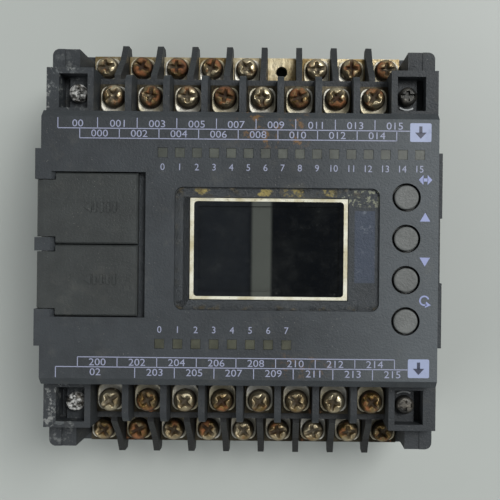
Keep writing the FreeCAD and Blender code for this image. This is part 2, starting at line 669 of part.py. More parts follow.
def port_jack(name, top):
    """Modular jack that opens upward, with its row of contact wires."""
    low, high = tongue_row(top)
    middle = f"(({low} + {high}) / 2)"
    top_z = "(bay_floor - wall)"
    shell = middle_box(f"{name}_shell", ("jack_x", middle), ("jack_long", "jack_high"),
                       (CPU_TOP, top_z))
    mouth = middle_box(f"{name}_mouth", ("jack_x", middle), ("mouth_long", "mouth_high"),
                       (f"{top_z} - mouth_deep", f"{top_z} + overrun"))
    key = middle_box(f"{name}_key", ("jack_x", f"{middle} - mouth_high / 2"),
                     ("jack_key_long", "jack_key_deep"),
                     (f"{top_z} - mouth_deep", f"{top_z} + overrun"))
    label(cut(f"{name}_cut", shell, [mouth, key]), name)
    wire = value("contact_side")
    first = value("jack_x - (contact_count - 1) * contact_pitch / 2")
    row_y = value(f"{middle} + mouth_high / 2") - wire / 2
    shapes = [block(first + index * value("contact_pitch"), row_y,
                    value(f"{top_z} - mouth_deep"), wire, wire, value("mouth_deep - contact_drop"))
              for index in range(int(value("contact_count")))]
    group(f"{name}_contacts", shapes)


def board(name, xs, ys, underside, thick, holes=()):
    """Circuit board with mounting holes."""
    plate = box(f"{name}_blank", xs, ys, (underside, f"{underside} + {thick}"))
    if not holes:
        return label(plate, name)
    tools = [cylinder(f"{name}_hole_{index}", centre, "board_hole",
                      (f"{underside} - overrun", f"{underside} + {thick} + overrun"))
             for index, centre in enumerate(holes)]
    return label(cut(f"{name}_cut", plate, tools), name)


def chip_row(name, kind, row_y, count):
    """Equal chips in a row along X on the terminal board."""
    first = block(value(f"{kind}_x"), value(row_y), value(IO_TOP), value(f"{kind}_long"),
                  value(f"{kind}_wide"), value(f"{kind}_high"))
    group(name, copies(first, [(index * value(f"{kind}_pitch"), 0, 0) for index in range(count)]))


def electronics():
    """Three stacked boards, what joins them and what stands on them."""
    board("terminal_board", span(BOARD_X), span(f"{BASE_Y} - wall - board_gap"), "io_board_z",
          "board_thick", FEET + BLOCK_SCREWS)
    board("processor_board", span(BOARD_X), span(BOARD_Y), "cpu_board_z", "board_thick",
          [("-cpu_hole_x", "cpu_hole_y"), ("-cpu_hole_x", "-cpu_hole_y"),
           (f"{BOARD_X} - cpu_hole_in", "cpu_hole_y")])
    board("display_board", ("-bay_right + bay_wall + seam", BOARD_X), span(BOARD_Y),
          "display_board_z", "display_board_thick")
    feet = [cylinder(f"standoff_{index}", centre, "foot_radius", ("deck_high", "io_board_z"))
            for index, centre in enumerate(FEET)]
    label(fuse("standoffs", feet), "board_standoffs")
    label(middle_box("lower_link", ("lower_link_x", "0"), ("lower_link_wide", "lower_link_long"),
                     (IO_TOP, "cpu_board_z")), "lower_board_connector")
    label(middle_box("upper_link", ("upper_link_x", "-upper_link_y"),
                     ("upper_link_long", "upper_link_wide"), (CPU_TOP, "display_board_z")),
          "upper_board_connector")
    label(middle_box("cpu_package", ("chip_x", "cpu_y"), ("cpu_side", "cpu_side"),
                     (CPU_TOP, f"{CPU_TOP} + cpu_high")), "processor_chip")
    label(middle_box("memory_package", ("chip_x", "-memory_y"), ("memory_long", "memory_wide"),
                     (CPU_TOP, f"{CPU_TOP} + memory_high")), "memory_chip")
    chip_row("output_driver_chips", "driver", "-parts_row", int(value("driver_count")))
    chip_row("input_couplers", "coupler", "parts_row", int(value("coupler_count")))
    can = Part.makeCylinder(value("can_radius"), value("can_high"),
                            FreeCAD.Vector(value("can_x"), 0, value(IO_TOP)))
    group("power_capacitors", copies(can, [(index * value("can_pitch"), 0, 0)
                                           for index in range(int(value("can_count")))]))
    label(middle_box("power_choke", ("choke_x", "0"), ("choke_side", "choke_side"),
                     (IO_TOP, f"{IO_TOP} + choke_high")), "power_inductor")


def display():
    """Lens sheet, bezel, glass and lit panel of the display."""
    lens = new_body("display_lens")
    pad(lens, outline(lens, "lens_sheet", "XY_Plane",
                      [rectangle(("lens_x - lens_long / 2", "lens_x + lens_long / 2"),
                                 span("lens_high / 2"))], LENS_Z), "lens_thick - lens_shy")
    soften(lens, "Fillet", "lens_corners", "lens_corner - fit_gap", lambda edge: along(edge, "z"))
    outer = ("frame_long", "frame_high")
    inner = ("frame_long - 2 * frame_rim", "frame_high - 2 * frame_rim")
    centre = ("screen_x", "0")
    rim = middle_box("bezel_outer", centre, outer, (DISPLAY_TOP, FRAME_TOP))
    hole = middle_box("bezel_hole", centre, inner, (f"{DISPLAY_TOP} - overrun", f"{FRAME_TOP} + overrun"))
    label(cut("bezel_cut", rim, [hole]), "display_bezel")
    glass_top = f"({FRAME_TOP} - glass_drop)"
    glass_low = f"({glass_top} - glass_thick)"
    small = tuple(f"{side} - window_gap" for side in inner)
    label(middle_box("screen_glass", centre, small, (glass_low, glass_top)), "display_glass")
    label(middle_box("screen_light", centre, small, (DISPLAY_TOP, glass_low)), "display_backlight")


def key(name, index):
    """Round key: domed cap, retaining flange and plunger."""
    body = new_body(name)
    x, y = "key_x", f"(key_y - {index} * key_pitch)"
    flange_top = f"({SKIN} - fit_gap)"
    cap = circles(body, f"{name}_cap", "XY_Plane", [(x, y)], "key_radius", f"{flange_top} - key_rise")
    pad(body, cap, f"body_depth + key_proud - ({flange_top} - key_rise)")
    flange = circles(body, f"{name}_flange", "XY_Plane", [(x, y)], "key_flange",
                     f"{flange_top} - key_flange_thick")
    pad(body, flange, "key_flange_thick")
    stem_low = "(switch_top + key_travel + key_clear)"
    stem = circles(body, f"{name}_stem", "XY_Plane", [(x, y)], "key_stem", stem_low)
    pad(body, stem, f"{flange_top} - {stem_low}")
    soften(body, "Fillet", f"{name}_dome", "key_dome",
           lambda edge: near(edge.CenterOfMass.z, value("body_depth + key_proud")))


def key_switches():
    """Small push switches under the keys."""
    low, side, high = value(DISPLAY_TOP), value("switch_side"), value("switch_high")
    stem = Part.makeCylinder(value("switch_stem"), value("switch_stem_high"),
                             FreeCAD.Vector(0, 0, low + high))
    switch = block(0, 0, low, side, side, high).fuse(stem)
    group("key_switches", copies(switch, [(value("key_x"), value(f"key_y - {index} * key_pitch"), 0)
                                          for index in range(int(value("key_count")))]))


def lamps(kind, row_y):
    """Window bars of one row of lamps, and the lamp chips below them."""
    side, low = value("lamp_side - window_gap"), value(DISPLAY_TOP)
    chip = value("led_high")
    places = [(value(f"{kind}_lamp_x + {index} * {kind}_lamp_pitch"), value(row_y), 0)
              for index in range(int(value(f"{kind}_lamps")))]
    bar = block(0, 0, low + chip, side, side, value("body_depth - lamp_drop") - low - chip)
    group(f"{kind}_lamp_windows", copies(bar, places))
    group(f"{kind}_leds", copies(block(0, 0, low, value("led_long"),
                                      value("led_wide"), chip), places))


def flip(side, y):
    """Place on the upper block, or the same place on the lower one."""
    return y if side > 0 else f"-({y})"


def terminal_row(tier, side):
    """Centres of the terminals of one row, as pairs of size expressions."""
    count = int(value(f"{tier}_count"))
    return [(f"({index} - ({tier}_count - 1) / 2) * pitch", flip(side, f"{tier}_row"))
            for index in range(count)]


def terminal_block(name, side):
    """Two-tier moulding with barriers between the terminals and a screw pocket at each end."""
    body = new_body(name)

    def loop(points):
        """Loop on the YZ plane, turned over for the lower block."""
        return [(flip(side, y), z) for y, z in points]

    def ends(xs, ys):
        """The same rectangle at both ends of the block."""
        return [rectangle(x, (flip(side, ys[0]), flip(side, ys[1]))) for x in (xs, mirrored(xs))]

    steps = loop([(BLOCK_Y, "base_high"), ("block_edge", "base_high"),
                  ("block_edge", "outer_floor"), ("tier_edge", "outer_floor"),
                  ("tier_edge", "inner_floor"), (BLOCK_Y, "inner_floor")])
    pad(body, outline(body, f"{name}_steps", "YZ_Plane", [steps]), "block_width", middle=True)

    inner = loop([(BLOCK_Y, "inner_floor - overrun"), ("tier_edge", "inner_floor - overrun"),
                  ("tier_edge", "end_high"), (BLOCK_Y, "end_high")])
    first = "-(inner_count / 2 - 1) * pitch - barrier / 2"
    rib = pad(body, outline(body, f"{name}_inner_barrier", "YZ_Plane", [inner], first), "barrier")
    row_pattern(body, rib, "inner_count - 1", "pitch")
    soften(body, "Fillet", f"{name}_barrier_round", "inner_barrier_round",
           lambda edge: along(edge, "x") and near(edge.Length, value("barrier"))
           and near(edge.CenterOfMass.z, value("end_high"))
           and near(abs(edge.CenterOfMass.y), value("tier_edge")))
    tip = "(body_height / 2)"
    outer = loop([("tier_edge - overrun", "outer_floor - overrun"),
                  ("tier_edge - overrun", "outer_barrier_high"),
                  ("tier_edge + outer_barrier_flat", "outer_barrier_high"),
                  ("block_edge - barrier_shoulder", "barrier_tip + shoulder_rise"),
                  (tip, "barrier_tip"), (tip, "outer_floor - barrier_under"),
                  ("block_edge - overrun", "base_high + barrier_heel")])
    first = "-(outer_count / 2 - 1) * pitch - barrier / 2"
    rib = pad(body, outline(body, f"{name}_outer_barrier", "YZ_Plane", [outer], first), "barrier")
    row_pattern(body, rib, "outer_count - 1", "pitch")

    pad(body, outline(body, f"{name}_ends", "XY_Plane",
                      ends((END_INNER, BLOCK_X), (BLOCK_Y, "end_reach")), "base_high"),
        "end_high - base_high")
    pad(body, outline(body, f"{name}_end_walls", "XY_Plane",
                      ends((END_POCKET, BLOCK_X), ("end_reach - overrun", "tab_reach")), "base_high"),
        "tab_high + seam - base_high")
    pad(body, outline(body, f"{name}_end_tabs", "XY_Plane",
                      ends((f"{END_POCKET} - tab_long", f"{END_POCKET} + overrun"),
                           ("end_reach - overrun", "tab_reach")), "base_high"), "tab_high - base_high")
    soften(body, "Fillet", f"{name}_end_corners", "end_round",
           lambda edge: along(edge, "z") and near(abs(edge.CenterOfMass.x), value(BLOCK_X))
           and near(abs(edge.CenterOfMass.y), value("tab_reach")))

    well = (f"{END_INNER} + pocket_wall", END_POCKET)
    well_y = (f"{BLOCK_Y} + pocket_wall", "end_reach - pocket_wall")
    pocket(body, outline(body, f"{name}_screw_wells", "XY_Plane", ends(well, well_y), "end_high"),
           "end_high - pocket_floor")
    deep = (f"{END_POCKET} - end_slot", END_POCKET)
    pocket(body, outline(body, f"{name}_end_slots", "XY_Plane", ends(deep, well_y), "pocket_floor"),
           "pocket_floor - end_slot_floor")
    for tier, depth in (("inner", "3 * wall"), ("outer", "outer_floor - base_high")):
        bores = circles(body, f"{name}_{tier}_bores", "XY_Plane", terminal_row(tier, side),
                        "tap_bore + collar_wall + seam", f"{tier}_floor")
        pocket(body, bores, depth)
    anchors = [place for place in BLOCK_SCREWS if place[1].startswith("-") == (side < 0)]
    pocket(body, circles(body, f"{name}_anchors", "XY_Plane", anchors, "screw_core + bore_clear",
                         "pocket_floor"), "body_depth")
    channel = rectangle(span("header_long / 2 + seam"),
                        (flip(side, "inner_row - header_wide / 2"),
                         flip(side, "inner_row + header_wide / 2")))
    pocket(body, outline(body, f"{name}_header_slot", "XY_Plane", [channel], "base_high"),
           "pin_high + seam", up=True)


def driver_screw(radius, high, core, reach):
    """Pan-head screw standing on z = 0, with a rounded rim, a long slot and a cross slot."""
    head = Part.makeCylinder(radius, high)
    rim = [edge for edge in head.Edges if near(edge.CenterOfMass.z, high)]
    head = head.makeFillet(high * RIM_SHARE, rim)
    wide, deep = value("slot_wide"), value("slot_deep")
    for size in ((2 * radius - wide, wide), (wide, 2 * (radius - wide))):
        head = head.cut(block(0, 0, high - deep, size[0], size[1], high))
    shank = Part.makeCylinder(core, reach, FreeCAD.Vector(0, 0, -reach))
    return head.fuse(shank).removeSplitter()


def terminals(name, tier, side):
    """Plates, square washers and screws of one row; the screw turn differs from one to the next."""
    floor = value(f"{tier}_floor")
    thick, bore = value("plate_thick"), value("tap_bore")
    row = [(value(x), value(y), 0) for x, y in terminal_row(tier, side)]
    plate = block(0, 0, floor, value("plate_wide"), value("plate_long"), thick)
    collar = Part.makeCylinder(bore + value("collar_wall"), value("collar_high"),
                               FreeCAD.Vector(0, 0, floor - value("collar_high")))
    hole = Part.makeCylinder(bore, 4 * thick + value("collar_high"),
                             FreeCAD.Vector(0, 0, floor - 2 * thick - value("collar_high")))
    group(f"{name}_plates", copies(plate.fuse(collar).removeSplitter().cut(hole), row))
    used = [place for index, place in enumerate(row)
            if not (tier == "outer" and side > 0 and index == int(value("empty_terminal")))]
    seat = floor + thick
    washer = block(0, 0, seat, value("washer_side"), value("washer_side"), value("washer_thick"))
    washer = washer.cut(Part.makeCylinder(value("screw_core + fit_gap"), value("body_depth")))
    group(f"{name}_washers", copies(washer, used))
    top = seat + value("washer_thick")
    screw = driver_screw(value("screw_head"), value("screw_head_high"), value("screw_core"),
                         value("screw_reach + washer_thick"))
    turned = []
    for index, (x, y, _) in enumerate(used):
        copy = screw.copy()
        copy.rotate(FreeCAD.Vector(), UP, FIRST_TURN + NEXT_TURN * index)
        copy.translate(FreeCAD.Vector(x, y, top))
        turned.append(copy)
    group(f"{name}_screws", turned)


def block_fastening():
    """Four long screws that hold the blocks, and the pin strips that join blocks and board."""
    screw = driver_screw(value("block_screw_head"), value("block_screw_high"), value("screw_core"),
                         value("pocket_floor - deck_high + base_thread"))
    places = [(value(x), value(y), value("pocket_floor")) for x, y in BLOCK_SCREWS]
    group("block_screws", copies(screw, places))
    for name, side in (("upper", 1), ("lower", -1)):
        y = flip(side, "inner_row")
        label(middle_box(f"{name}_strip", ("0", y), ("header_long", "header_wide - 1"),
                         (IO_TOP, HEADER_TOP)), f"{name}_block_header")
        width = value("pin_side")
        pin = block(0, value(y), value(HEADER_TOP), width, width, value("pin_high - fit_gap"))
        places = [(value(f"({index} - (header_pins - 1) / 2) * pitch / 2"), 0, 0)
                  for index in range(int(value("header_pins")))]
        group(f"{name}_header_pins", copies(pin, places))


def check_and_write():
    """Refuses a failed object or an empty shape, then writes one file per sub-part."""
    doc.recompute()
    failed = [item.Name for item in doc.Objects
              if "Invalid" in item.State or "Error" in item.State]
    if failed:
        raise RuntimeError(f"failed objects: {failed}")
    for item in NODES:
        if item.Shape.isNull() or not item.Shape.isValid() or not item.Shape.Solids:
            raise RuntimeError(f"{item.Label} has no sound shape")
    os.makedirs("parts", exist_ok=True)
    for item in NODES:
        item.Shape.exportStep(f"parts/{item.Label}.step")
    print(len(NODES), "sub-parts written")


rear_base()
rail_latch()
front_case()
expansion_side()
port_cover("upper_port_cover", True)
port_cover("lower_port_cover", False)
hinge_pin()
port_jack("upper_port_jack", True)
port_jack("lower_port_jack", False)
electronics()
display()
for position, key_name in enumerate(("key_swap", "key_up", "key_down", "key_turn")):
    key(key_name, position)
key_switches()
lamps("input", "lamp_y")
lamps("output", "-lamp_y")
for block_name, block_side in (("upper", 1), ("lower", -1)):
    terminal_block(f"{block_name}_terminal_block", block_side)
    for tier_name in ("inner", "outer"):
        terminals(f"{block_name}_{tier_name}", tier_name, block_side)
block_fastening()
check_and_write()
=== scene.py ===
import math

import bpy
import numpy as np
from mathutils import Euler, Matrix, Vector


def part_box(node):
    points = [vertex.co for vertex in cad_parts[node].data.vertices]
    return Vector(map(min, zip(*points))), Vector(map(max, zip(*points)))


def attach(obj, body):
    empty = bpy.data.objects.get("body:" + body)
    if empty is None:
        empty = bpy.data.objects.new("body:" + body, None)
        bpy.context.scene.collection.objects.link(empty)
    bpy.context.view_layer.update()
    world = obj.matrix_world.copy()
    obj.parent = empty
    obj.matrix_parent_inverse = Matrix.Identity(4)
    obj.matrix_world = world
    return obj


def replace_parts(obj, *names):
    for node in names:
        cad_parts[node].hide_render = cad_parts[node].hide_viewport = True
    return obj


bl_info = {
    "name": "Controller module looks",
    "version": (1, 0, 0),
    "blender": (4, 5, 0),
    "location": "3D View > Sidebar > Controller",
    "description": "Finishes a compact programmable controller: mouldings, print, metal and stage",
    "category": "Object",
}

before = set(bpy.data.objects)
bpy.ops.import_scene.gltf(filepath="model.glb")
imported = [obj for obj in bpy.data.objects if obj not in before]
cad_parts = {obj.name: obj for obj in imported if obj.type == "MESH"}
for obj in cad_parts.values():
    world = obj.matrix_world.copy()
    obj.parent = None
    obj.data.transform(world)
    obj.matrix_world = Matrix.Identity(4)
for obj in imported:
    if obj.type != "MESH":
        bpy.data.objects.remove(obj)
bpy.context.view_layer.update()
MM = 0.001


# ---- shader building

class Wire:
    """A shader socket that can be used in arithmetic; each operator adds one Math node."""

    def __init__(self, nodes, socket):
        self.nodes = nodes
        self.socket = socket

    def math(self, operation, *others):
        """A Math node with this wire in its first socket."""
        node = self.nodes.add("ShaderNodeMath", {"operation": operation}, {})
        for slot, item in enumerate((self, *others)):
            self.nodes.feed(node.inputs[slot], item)
        return Wire(self.nodes, node.outputs[0])

    def __add__(self, other):
        return self.math("ADD", other)

    __radd__ = __add__

    def __sub__(self, other):
        return self.math("SUBTRACT", other)

    def __rsub__(self, other):
        node = self.nodes.add("ShaderNodeMath", {"operation": "SUBTRACT"}, {})
        self.nodes.feed(node.inputs[0], other)
        self.nodes.feed(node.inputs[1], self)
        return Wire(self.nodes, node.outputs[0])

    def __mul__(self, other):
        return self.math("MULTIPLY", other)

    __rmul__ = __mul__

    def step(self, low, high):
        """Smooth rise from 0 at low to 1 at high."""
        node = self.nodes.add(
            "ShaderNodeMapRange", {"interpolation_type": "SMOOTHSTEP"},
            {"Value": self, "From Min": low, "From Max": high})
        return Wire(self.nodes, node.outputs[0])

    def top(self, other):
        """The larger of two wires."""
        return self.math("MAXIMUM", other)


class Shader:
    """Material under construction, with its nodes and its Principled shader."""

    def __init__(self, name):
        self.material = bpy.data.materials.new(name)
        self.material.use_nodes = True
        self.tree = self.material.node_tree
        self.tree.nodes.clear()
        self.surface = self.add("ShaderNodeBsdfPrincipled", {}, {})
        output = self.add("ShaderNodeOutputMaterial", {}, {})
        self.tree.links.new(self.surface.outputs[0], output.inputs[0])
        coordinates = self.add("ShaderNodeTexCoord", {}, {})
        self.place = Wire(self, coordinates.outputs["Object"])

    def feed(self, socket, item):
        """Links a wire to a socket, or sets its value."""
        if isinstance(item, Wire):
            self.tree.links.new(item.socket, socket)
        else:
            socket.default_value = item

    def add(self, kind, settings, inputs):
        """Adds a node: its settings first, then its socket values or links."""
        node = self.tree.nodes.new(kind)
        for name, setting in settings.items():
            setattr(node, name, setting)
        for name, item in inputs.items():
            self.feed(node.inputs[name], item)
        return node

    def noise(self, scale, detail=3.0, roughness=0.55, place=None):
        """Fractal noise of a given number of cells per metre."""
        node = self.add("ShaderNodeTexNoise", {},
                        {"Vector": place or self.place, "Scale": scale, "Detail": detail,
                         "Roughness": roughness})
        return Wire(self, node.outputs["Fac"])

    def cells(self, scale):
        """Distance to the nearest point of a Voronoi pattern, in cells."""
        node = self.add("ShaderNodeTexVoronoi", {}, {"Vector": self.place, "Scale": scale})
        return Wire(self, node.outputs["Distance"])

    def stretched(self, scale, turn=0.0):
        """Object coordinates scaled by axis and turned about Z."""
        node = self.add("ShaderNodeMapping", {},
                        {"Vector": self.place, "Scale": scale, "Rotation": (0.0, 0.0, turn)})
        return Wire(self, node.outputs[0])

    def axes(self):
        """X, Y and Z of the Object coordinates."""
        node = self.add("ShaderNodeSeparateXYZ", {}, {"Vector": self.place})
        return [Wire(self, output) for output in node.outputs]

    def mix(self, factor, low, high):
        """Colour blend; each colour is an RGB tuple or a wire."""
        node = self.add("ShaderNodeMix", {"data_type": "RGBA"}, {})
        # by number, because the colour sockets share their names with the node's other kinds
        for slot, item in ((0, factor), (6, low), (7, high)):
            self.feed(node.inputs[slot], (*item, 1.0) if isinstance(item, tuple) else item)
        return Wire(self, node.outputs[2])

    def bump(self, height, distance, strength=1.0):
        """Bumps the normal by a height of about 0 to 1 times a distance in metres."""
        node = self.add("ShaderNodeBump", {},
                        {"Height": height, "Distance": distance, "Strength": strength})
        self.feed(self.surface.inputs["Normal"], Wire(self, node.outputs[0]))

    def set(self, **inputs):
        """Sets shader sockets; names use underscores for spaces."""
        for name, item in inputs.items():
            self.feed(self.surface.inputs[name.replace("_", " ")], item)


def linear(red, green, blue):
    """Linear colour of a display colour given in 0 to 255."""
    def one(level):
        part = level / 255.0
        return part / 12.92 if part <= 0.04045 else ((part + 0.055) / 1.055) ** 2.4
    return (one(red), one(green), one(blue))


def shade(colour, factor):
    """A colour made lighter or darker."""
    return tuple(min(1.0, part * factor) for part in colour)


# ---- materials

USUAL_DUST = 0.35
DIRT = linear(104, 102, 94)
DUST = linear(160, 158, 150)


def moulded(name, colour, dust=USUAL_DUST, gloss=0.5, marks=None):
    """Spark-eroded moulding: fine grain, broad tone changes, dust, scuffs and scratches.

    marks, where given, adds what is particular to one piece: it takes the shader and the colour
    wire and returns the new colour wire.
    """
    shader = Shader(name)
    broad = shader.noise(45.0, 4.0)
    cloud = shader.noise(210.0, 5.0, 0.65)
    fine = shader.noise(900.0, 2.0)
    tone = shader.mix((broad * 0.5 + cloud * 0.5).step(0.34, 0.64), shade(colour, 0.8),
                      shade(colour, 1.2))
    scuff = shader.noise(160.0, 6.0, 0.7).step(0.54, 0.74)
    streak = shader.noise(1.0, 3.0, 0.6, shader.stretched((2600.0, 120.0, 300.0), 0.5))
    scratch = streak.step(0.69, 0.74) * shader.noise(70.0, 2.0).step(0.5, 0.62)
    worn = shader.mix(scuff * (0.22 * dust / USUAL_DUST) + scratch * 0.3, tone, DIRT)
    specks = shader.cells(1500.0).step(0.16, 0.08) * shader.noise(240.0).step(0.52, 0.66)
    final = shader.mix(specks * dust, worn, DUST)
    if marks:
        final = marks(shader, final)
    shader.set(Base_Color=final, Roughness=scuff * 0.16 + fine * 0.14 + gloss,
               Specular_IOR_Level=0.4)
    grain = shader.noise(3800.0, 2.0, 0.6)
    spark = shader.noise(2100.0, 2.0, 0.5)
    relief = grain * 0.6 + spark + broad * 0.6 + cloud - scratch * 0.8
    shader.bump(relief, 0.14 * MM, 0.8)
    return shader.material


def within(wire, low, high, soft):
    """1 between two places along an axis, fading over a soft distance at each end."""
    return wire.step(low - soft, low) * (1.0 - wire.step(high, high + soft))


# Zones of the face in millimetres: low, high and fade along X, then along Y.
FACE_ZONES = {
    "upper_streaks": ((1.5, 11.0, 3.0), (20.5, 26.0, 1.5)),
    "lower_streaks": ((7.0, 17.0, 2.0), (-24.0, -21.0, 1.5)),
    "glue": ((-8.5, 17.0, 3.0), (10.3, 11.3, 0.4)),
    "crust": ((18.5, 26.4, 0.8), (8.6, 11.2, 0.5)),
    "sticker": ((22.4, 26.0, 0.3), (-6.2, 7.4, 0.3)),
}
FACE_LEVEL = (39.9 * MM, 40.0 * MM)
# where along X the painted sheen on the level face grows
FACE_SHEEN_SIDE = (8.0 * MM, 38.0 * MM)
STICKER_LEVEL = (38.0 * MM, 39.6 * MM, 0.2 * MM)


def face_zone(x, y, name):
    """1 inside a named zone of the face, fading past its edges."""
    across, up = FACE_ZONES[name]
    return (within(x, *(part * MM for part in across))
            * within(y, *(part * MM for part in up)))


def face_marks(shader, final):
    """Brown streaks on the printed rows, glue above the screen and crust beside it, a painted
    sheen that makes the level face paler towards +X, and a bluish sticker in the recess of the
    lens.
    """
    x, y, z = shader.axes()
    fine = shader.noise(520.0, 6.0, 0.72)
    run = face_zone(x, y, "upper_streaks").top(face_zone(x, y, "lower_streaks") * 0.4)
    marked = shader.mix(fine.step(0.52, 0.64) * run * 0.85, final, linear(112, 82, 44))
    lumps = shader.noise(300.0, 4.0, 0.6).step(0.54, 0.62)
    marked = shader.mix(face_zone(x, y, "glue") * lumps * 0.85, marked, linear(152, 136, 74))
    crumbs = shader.noise(780.0, 5.0, 0.7).step(0.5, 0.56)
    marked = shader.mix(face_zone(x, y, "crust") * crumbs * 0.75, marked, linear(140, 142, 120))
    # painted sheen: the level face made paler and bluer towards +X, standing in for reflected light
    tone_shift = z.step(*FACE_LEVEL) * x.step(*FACE_SHEEN_SIDE)
    marked = shader.mix(tone_shift * 0.16, marked, linear(150, 158, 162))
    sticker = face_zone(x, y, "sticker") * within(z, *STICKER_LEVEL)
    worn = shader.mix(fine.step(0.56, 0.7), linear(56, 66, 84), linear(112, 120, 130))
    return shader.mix(sticker * 0.62, marked, worn)


# Marks on the blocks: how the painted shade fades upward and, with oil, grows towards -Y, the
# stretch of X between the end pockets, and how bloom and a painted wet sheen grow towards the -X
# end and upward.
DEPTH_SHADE_FADE = (24.0 * MM, 34.0 * MM)
LOWER_SIDE = (20.0 * MM, 30.0 * MM)
BETWEEN_POCKETS = (-31.0 * MM, 31.0 * MM, 1.0 * MM)
BLOOM_END = (30.0 * MM, 36.0 * MM)
BLOOM_RISE = (28.0 * MM, 33.5 * MM)


def block_marks(shader, final):
    """Painted shade darker towards the floors, oil, dust and painted shade darker towards -Y, and a
    painted wet sheen and salty white bloom on the ends by the -X side.
    """
    x, y, z = shader.axes()
    fine = shader.noise(620.0, 6.0, 0.75)
    # painted shade: the block darkens low down, towards its floors, between the end pockets
    painted_depth_shade = (1.0 - z.step(*DEPTH_SHADE_FADE)) * within(x, *BETWEEN_POCKETS)
    lower = (y * -1.0).step(*LOWER_SIDE)
    # dark mix of oil and dust with painted shade, strongest low down and towards -Y
    oil_and_painted_shade = (painted_depth_shade * 0.5 + lower * painted_depth_shade * 0.35 + lower * 0.2) * fine.step(0.2, 0.5)
    final = shader.mix(oil_and_painted_shade, final, linear(24, 24, 22))
    zone = (x * -1.0).step(*BLOOM_END) * z.step(*BLOOM_RISE)
    # painted wet sheen: lighter grey patches standing in for light off grease on the -X ends
    painted_wet_sheen = shader.noise(480.0, 5.0, 0.7).step(0.56, 0.62) * zone
    final = shader.mix(painted_wet_sheen * 0.4, final, linear(112, 116, 116))
    return shader.mix(fine.step(0.55, 0.62) * zone * 0.6, final, linear(150, 152, 148))


def translucent_window(name, colour):
    """Moulded lamp window or lamp: waxy and mottled."""
    shader = Shader(name)
    mottle = shader.noise(420.0, 3.0)
    final = shader.mix(mottle.step(0.35, 0.7), shade(colour, 0.82), shade(colour, 1.2))
    shader.set(Base_Color=final, Roughness=mottle * 0.2 + 0.32, Subsurface_Weight=0.12)
    reach = (0.6 * MM, 0.6 * MM, 0.4 * MM)
    shader.surface.inputs["Subsurface Radius"].default_value = reach
    shader.bump(shader.noise(1700.0), 0.04 * MM, 0.4)
    return shader.material


def plated(name, clean, stain, rust_amount, roughness=0.24, depth=None, shine=1.0):
    """Nickel plate gone yellow, with brown rust that eats in patches and dark pits.

    depth, where given, is a low and a high level: dark brown lies thick below and fades upward,
    painted shade with dirt. shine is how metallic the clean plate still is.
    """
    shader = Shader(name)
    broad = shader.noise(130.0, 5.0, 0.6)
    fine = shader.noise(750.0, 5.0, 0.65)
    tarnish = shader.mix(broad.step(0.32, 0.62), clean, stain)
    rusty = (broad * 0.6 + fine * 0.4).step(0.62 - rust_amount, 0.72 - rust_amount)
    rust = shader.mix(fine.step(0.35, 0.65), linear(66, 44, 28), linear(142, 92, 54))
    pits = shader.cells(2100.0).step(0.2, 0.1)
    final = shader.mix(rusty, tarnish, rust)
    final = shader.mix(pits * 0.35, final, linear(38, 28, 20))
    dull = rusty
    if depth:
        height = shader.axes()[2]
        # painted shade with dirt: dark brown patches low down and in hollows, fading upward
        painted_shade_and_dirt = (1.0 - height.step(*depth)) * fine.step(0.3, 0.46)
        final = shader.mix(painted_shade_and_dirt * 0.85, final, linear(36, 27, 19))
        dull = rusty.top(painted_shade_and_dirt)
    shader.set(Base_Color=final, Metallic=shine - dull * (0.85 * shine),
               Roughness=dull * 0.42 + fine * 0.22 + roughness)
    shader.bump(fine * 0.9 + rusty * 0.5 - pits * 0.3, 0.2 * MM, 0.8)
    return shader.material


def dull_screw(name):
    """Dark plated screws, those on the -X side white with bloom where the plating has gone."""
    shader = Shader(name)
    bloom_side = (shader.axes()[0] * -1.0).step(0.0, 20.0 * MM)
    fine = shader.noise(900.0, 5.0, 0.7)
    crust = fine.step(0.44, 0.58) * bloom_side
    dark = shader.mix(shader.noise(300.0, 4.0).step(0.4, 0.65), linear(52, 52, 50),
                      linear(112, 108, 100))
    final = shader.mix(crust, dark, linear(196, 196, 192))
    shader.set(Base_Color=final, Metallic=0.75 - crust * 0.75, Roughness=crust * 0.4 + 0.42)
    shader.bump(fine + crust, 0.18 * MM, 0.7)
    return shader.material


def board_material(name, colour):
    """Solder mask with faint tracks that run along X and Y."""
    shader = Shader(name)
    x, y = shader.axes()[:2]
    tracks = (x * 2300.0).math("SINE").step(0.72, 0.86) * shader.noise(160.0).step(0.45, 0.5)
    cross = (y * 2100.0).math("SINE").step(0.74, 0.88) * shader.noise(190.0).step(0.48, 0.53)
    lines = tracks.top(cross)
    final = shader.mix(lines * 0.6, colour, shade(colour, 1.9))
    shader.set(Base_Color=final, Roughness=shader.noise(800.0) * 0.15 + 0.28)
    shader.bump(lines, 0.04 * MM, 0.5)
    return shader.material


def plain_metal(name, colour, roughness):
    """Bright metal with drawn grain and a little tarnish."""
    shader = Shader(name)
    brushed = shader.noise(1.0, 4.0, 0.6, shader.stretched((1400.0, 1400.0, 90.0)))
    final = shader.mix(shader.noise(500.0, 4.0).step(0.4, 0.75), colour, shade(colour, 0.6))
    shader.set(Base_Color=final, Metallic=1.0, Roughness=brushed * 0.25 + roughness)
    shader.bump(brushed, 0.03 * MM, 0.5)
    return shader.material


def print_ink(name, colour, wear=0.4):
    """Screen-printed ink, thin and a little rubbed."""
    shader = Shader(name)
    tone_shift = shader.noise(650.0, 5.0, 0.7).step(0.5, 0.72)
    final = shader.mix(tone_shift * wear, colour, shade(colour, 0.45))
    shader.set(Base_Color=final, Roughness=tone_shift * 0.2 + 0.45)
    shader.bump(shader.noise(3000.0), 0.02 * MM, 0.4)
    return shader.material


LENS_RESIDUE = 2.6 * MM  # down from the upper edge of the lens
LENS_GRIME = 1.4 * MM  # in from its lower and left edges
BAND = (0.37, 0.53)  # the paler band, as shares of the width of the glass
BAND_FADE = 0.8 * MM
TONE_FADE = 1.0 * MM  # half the stretch over which the glass darkens past the band's start


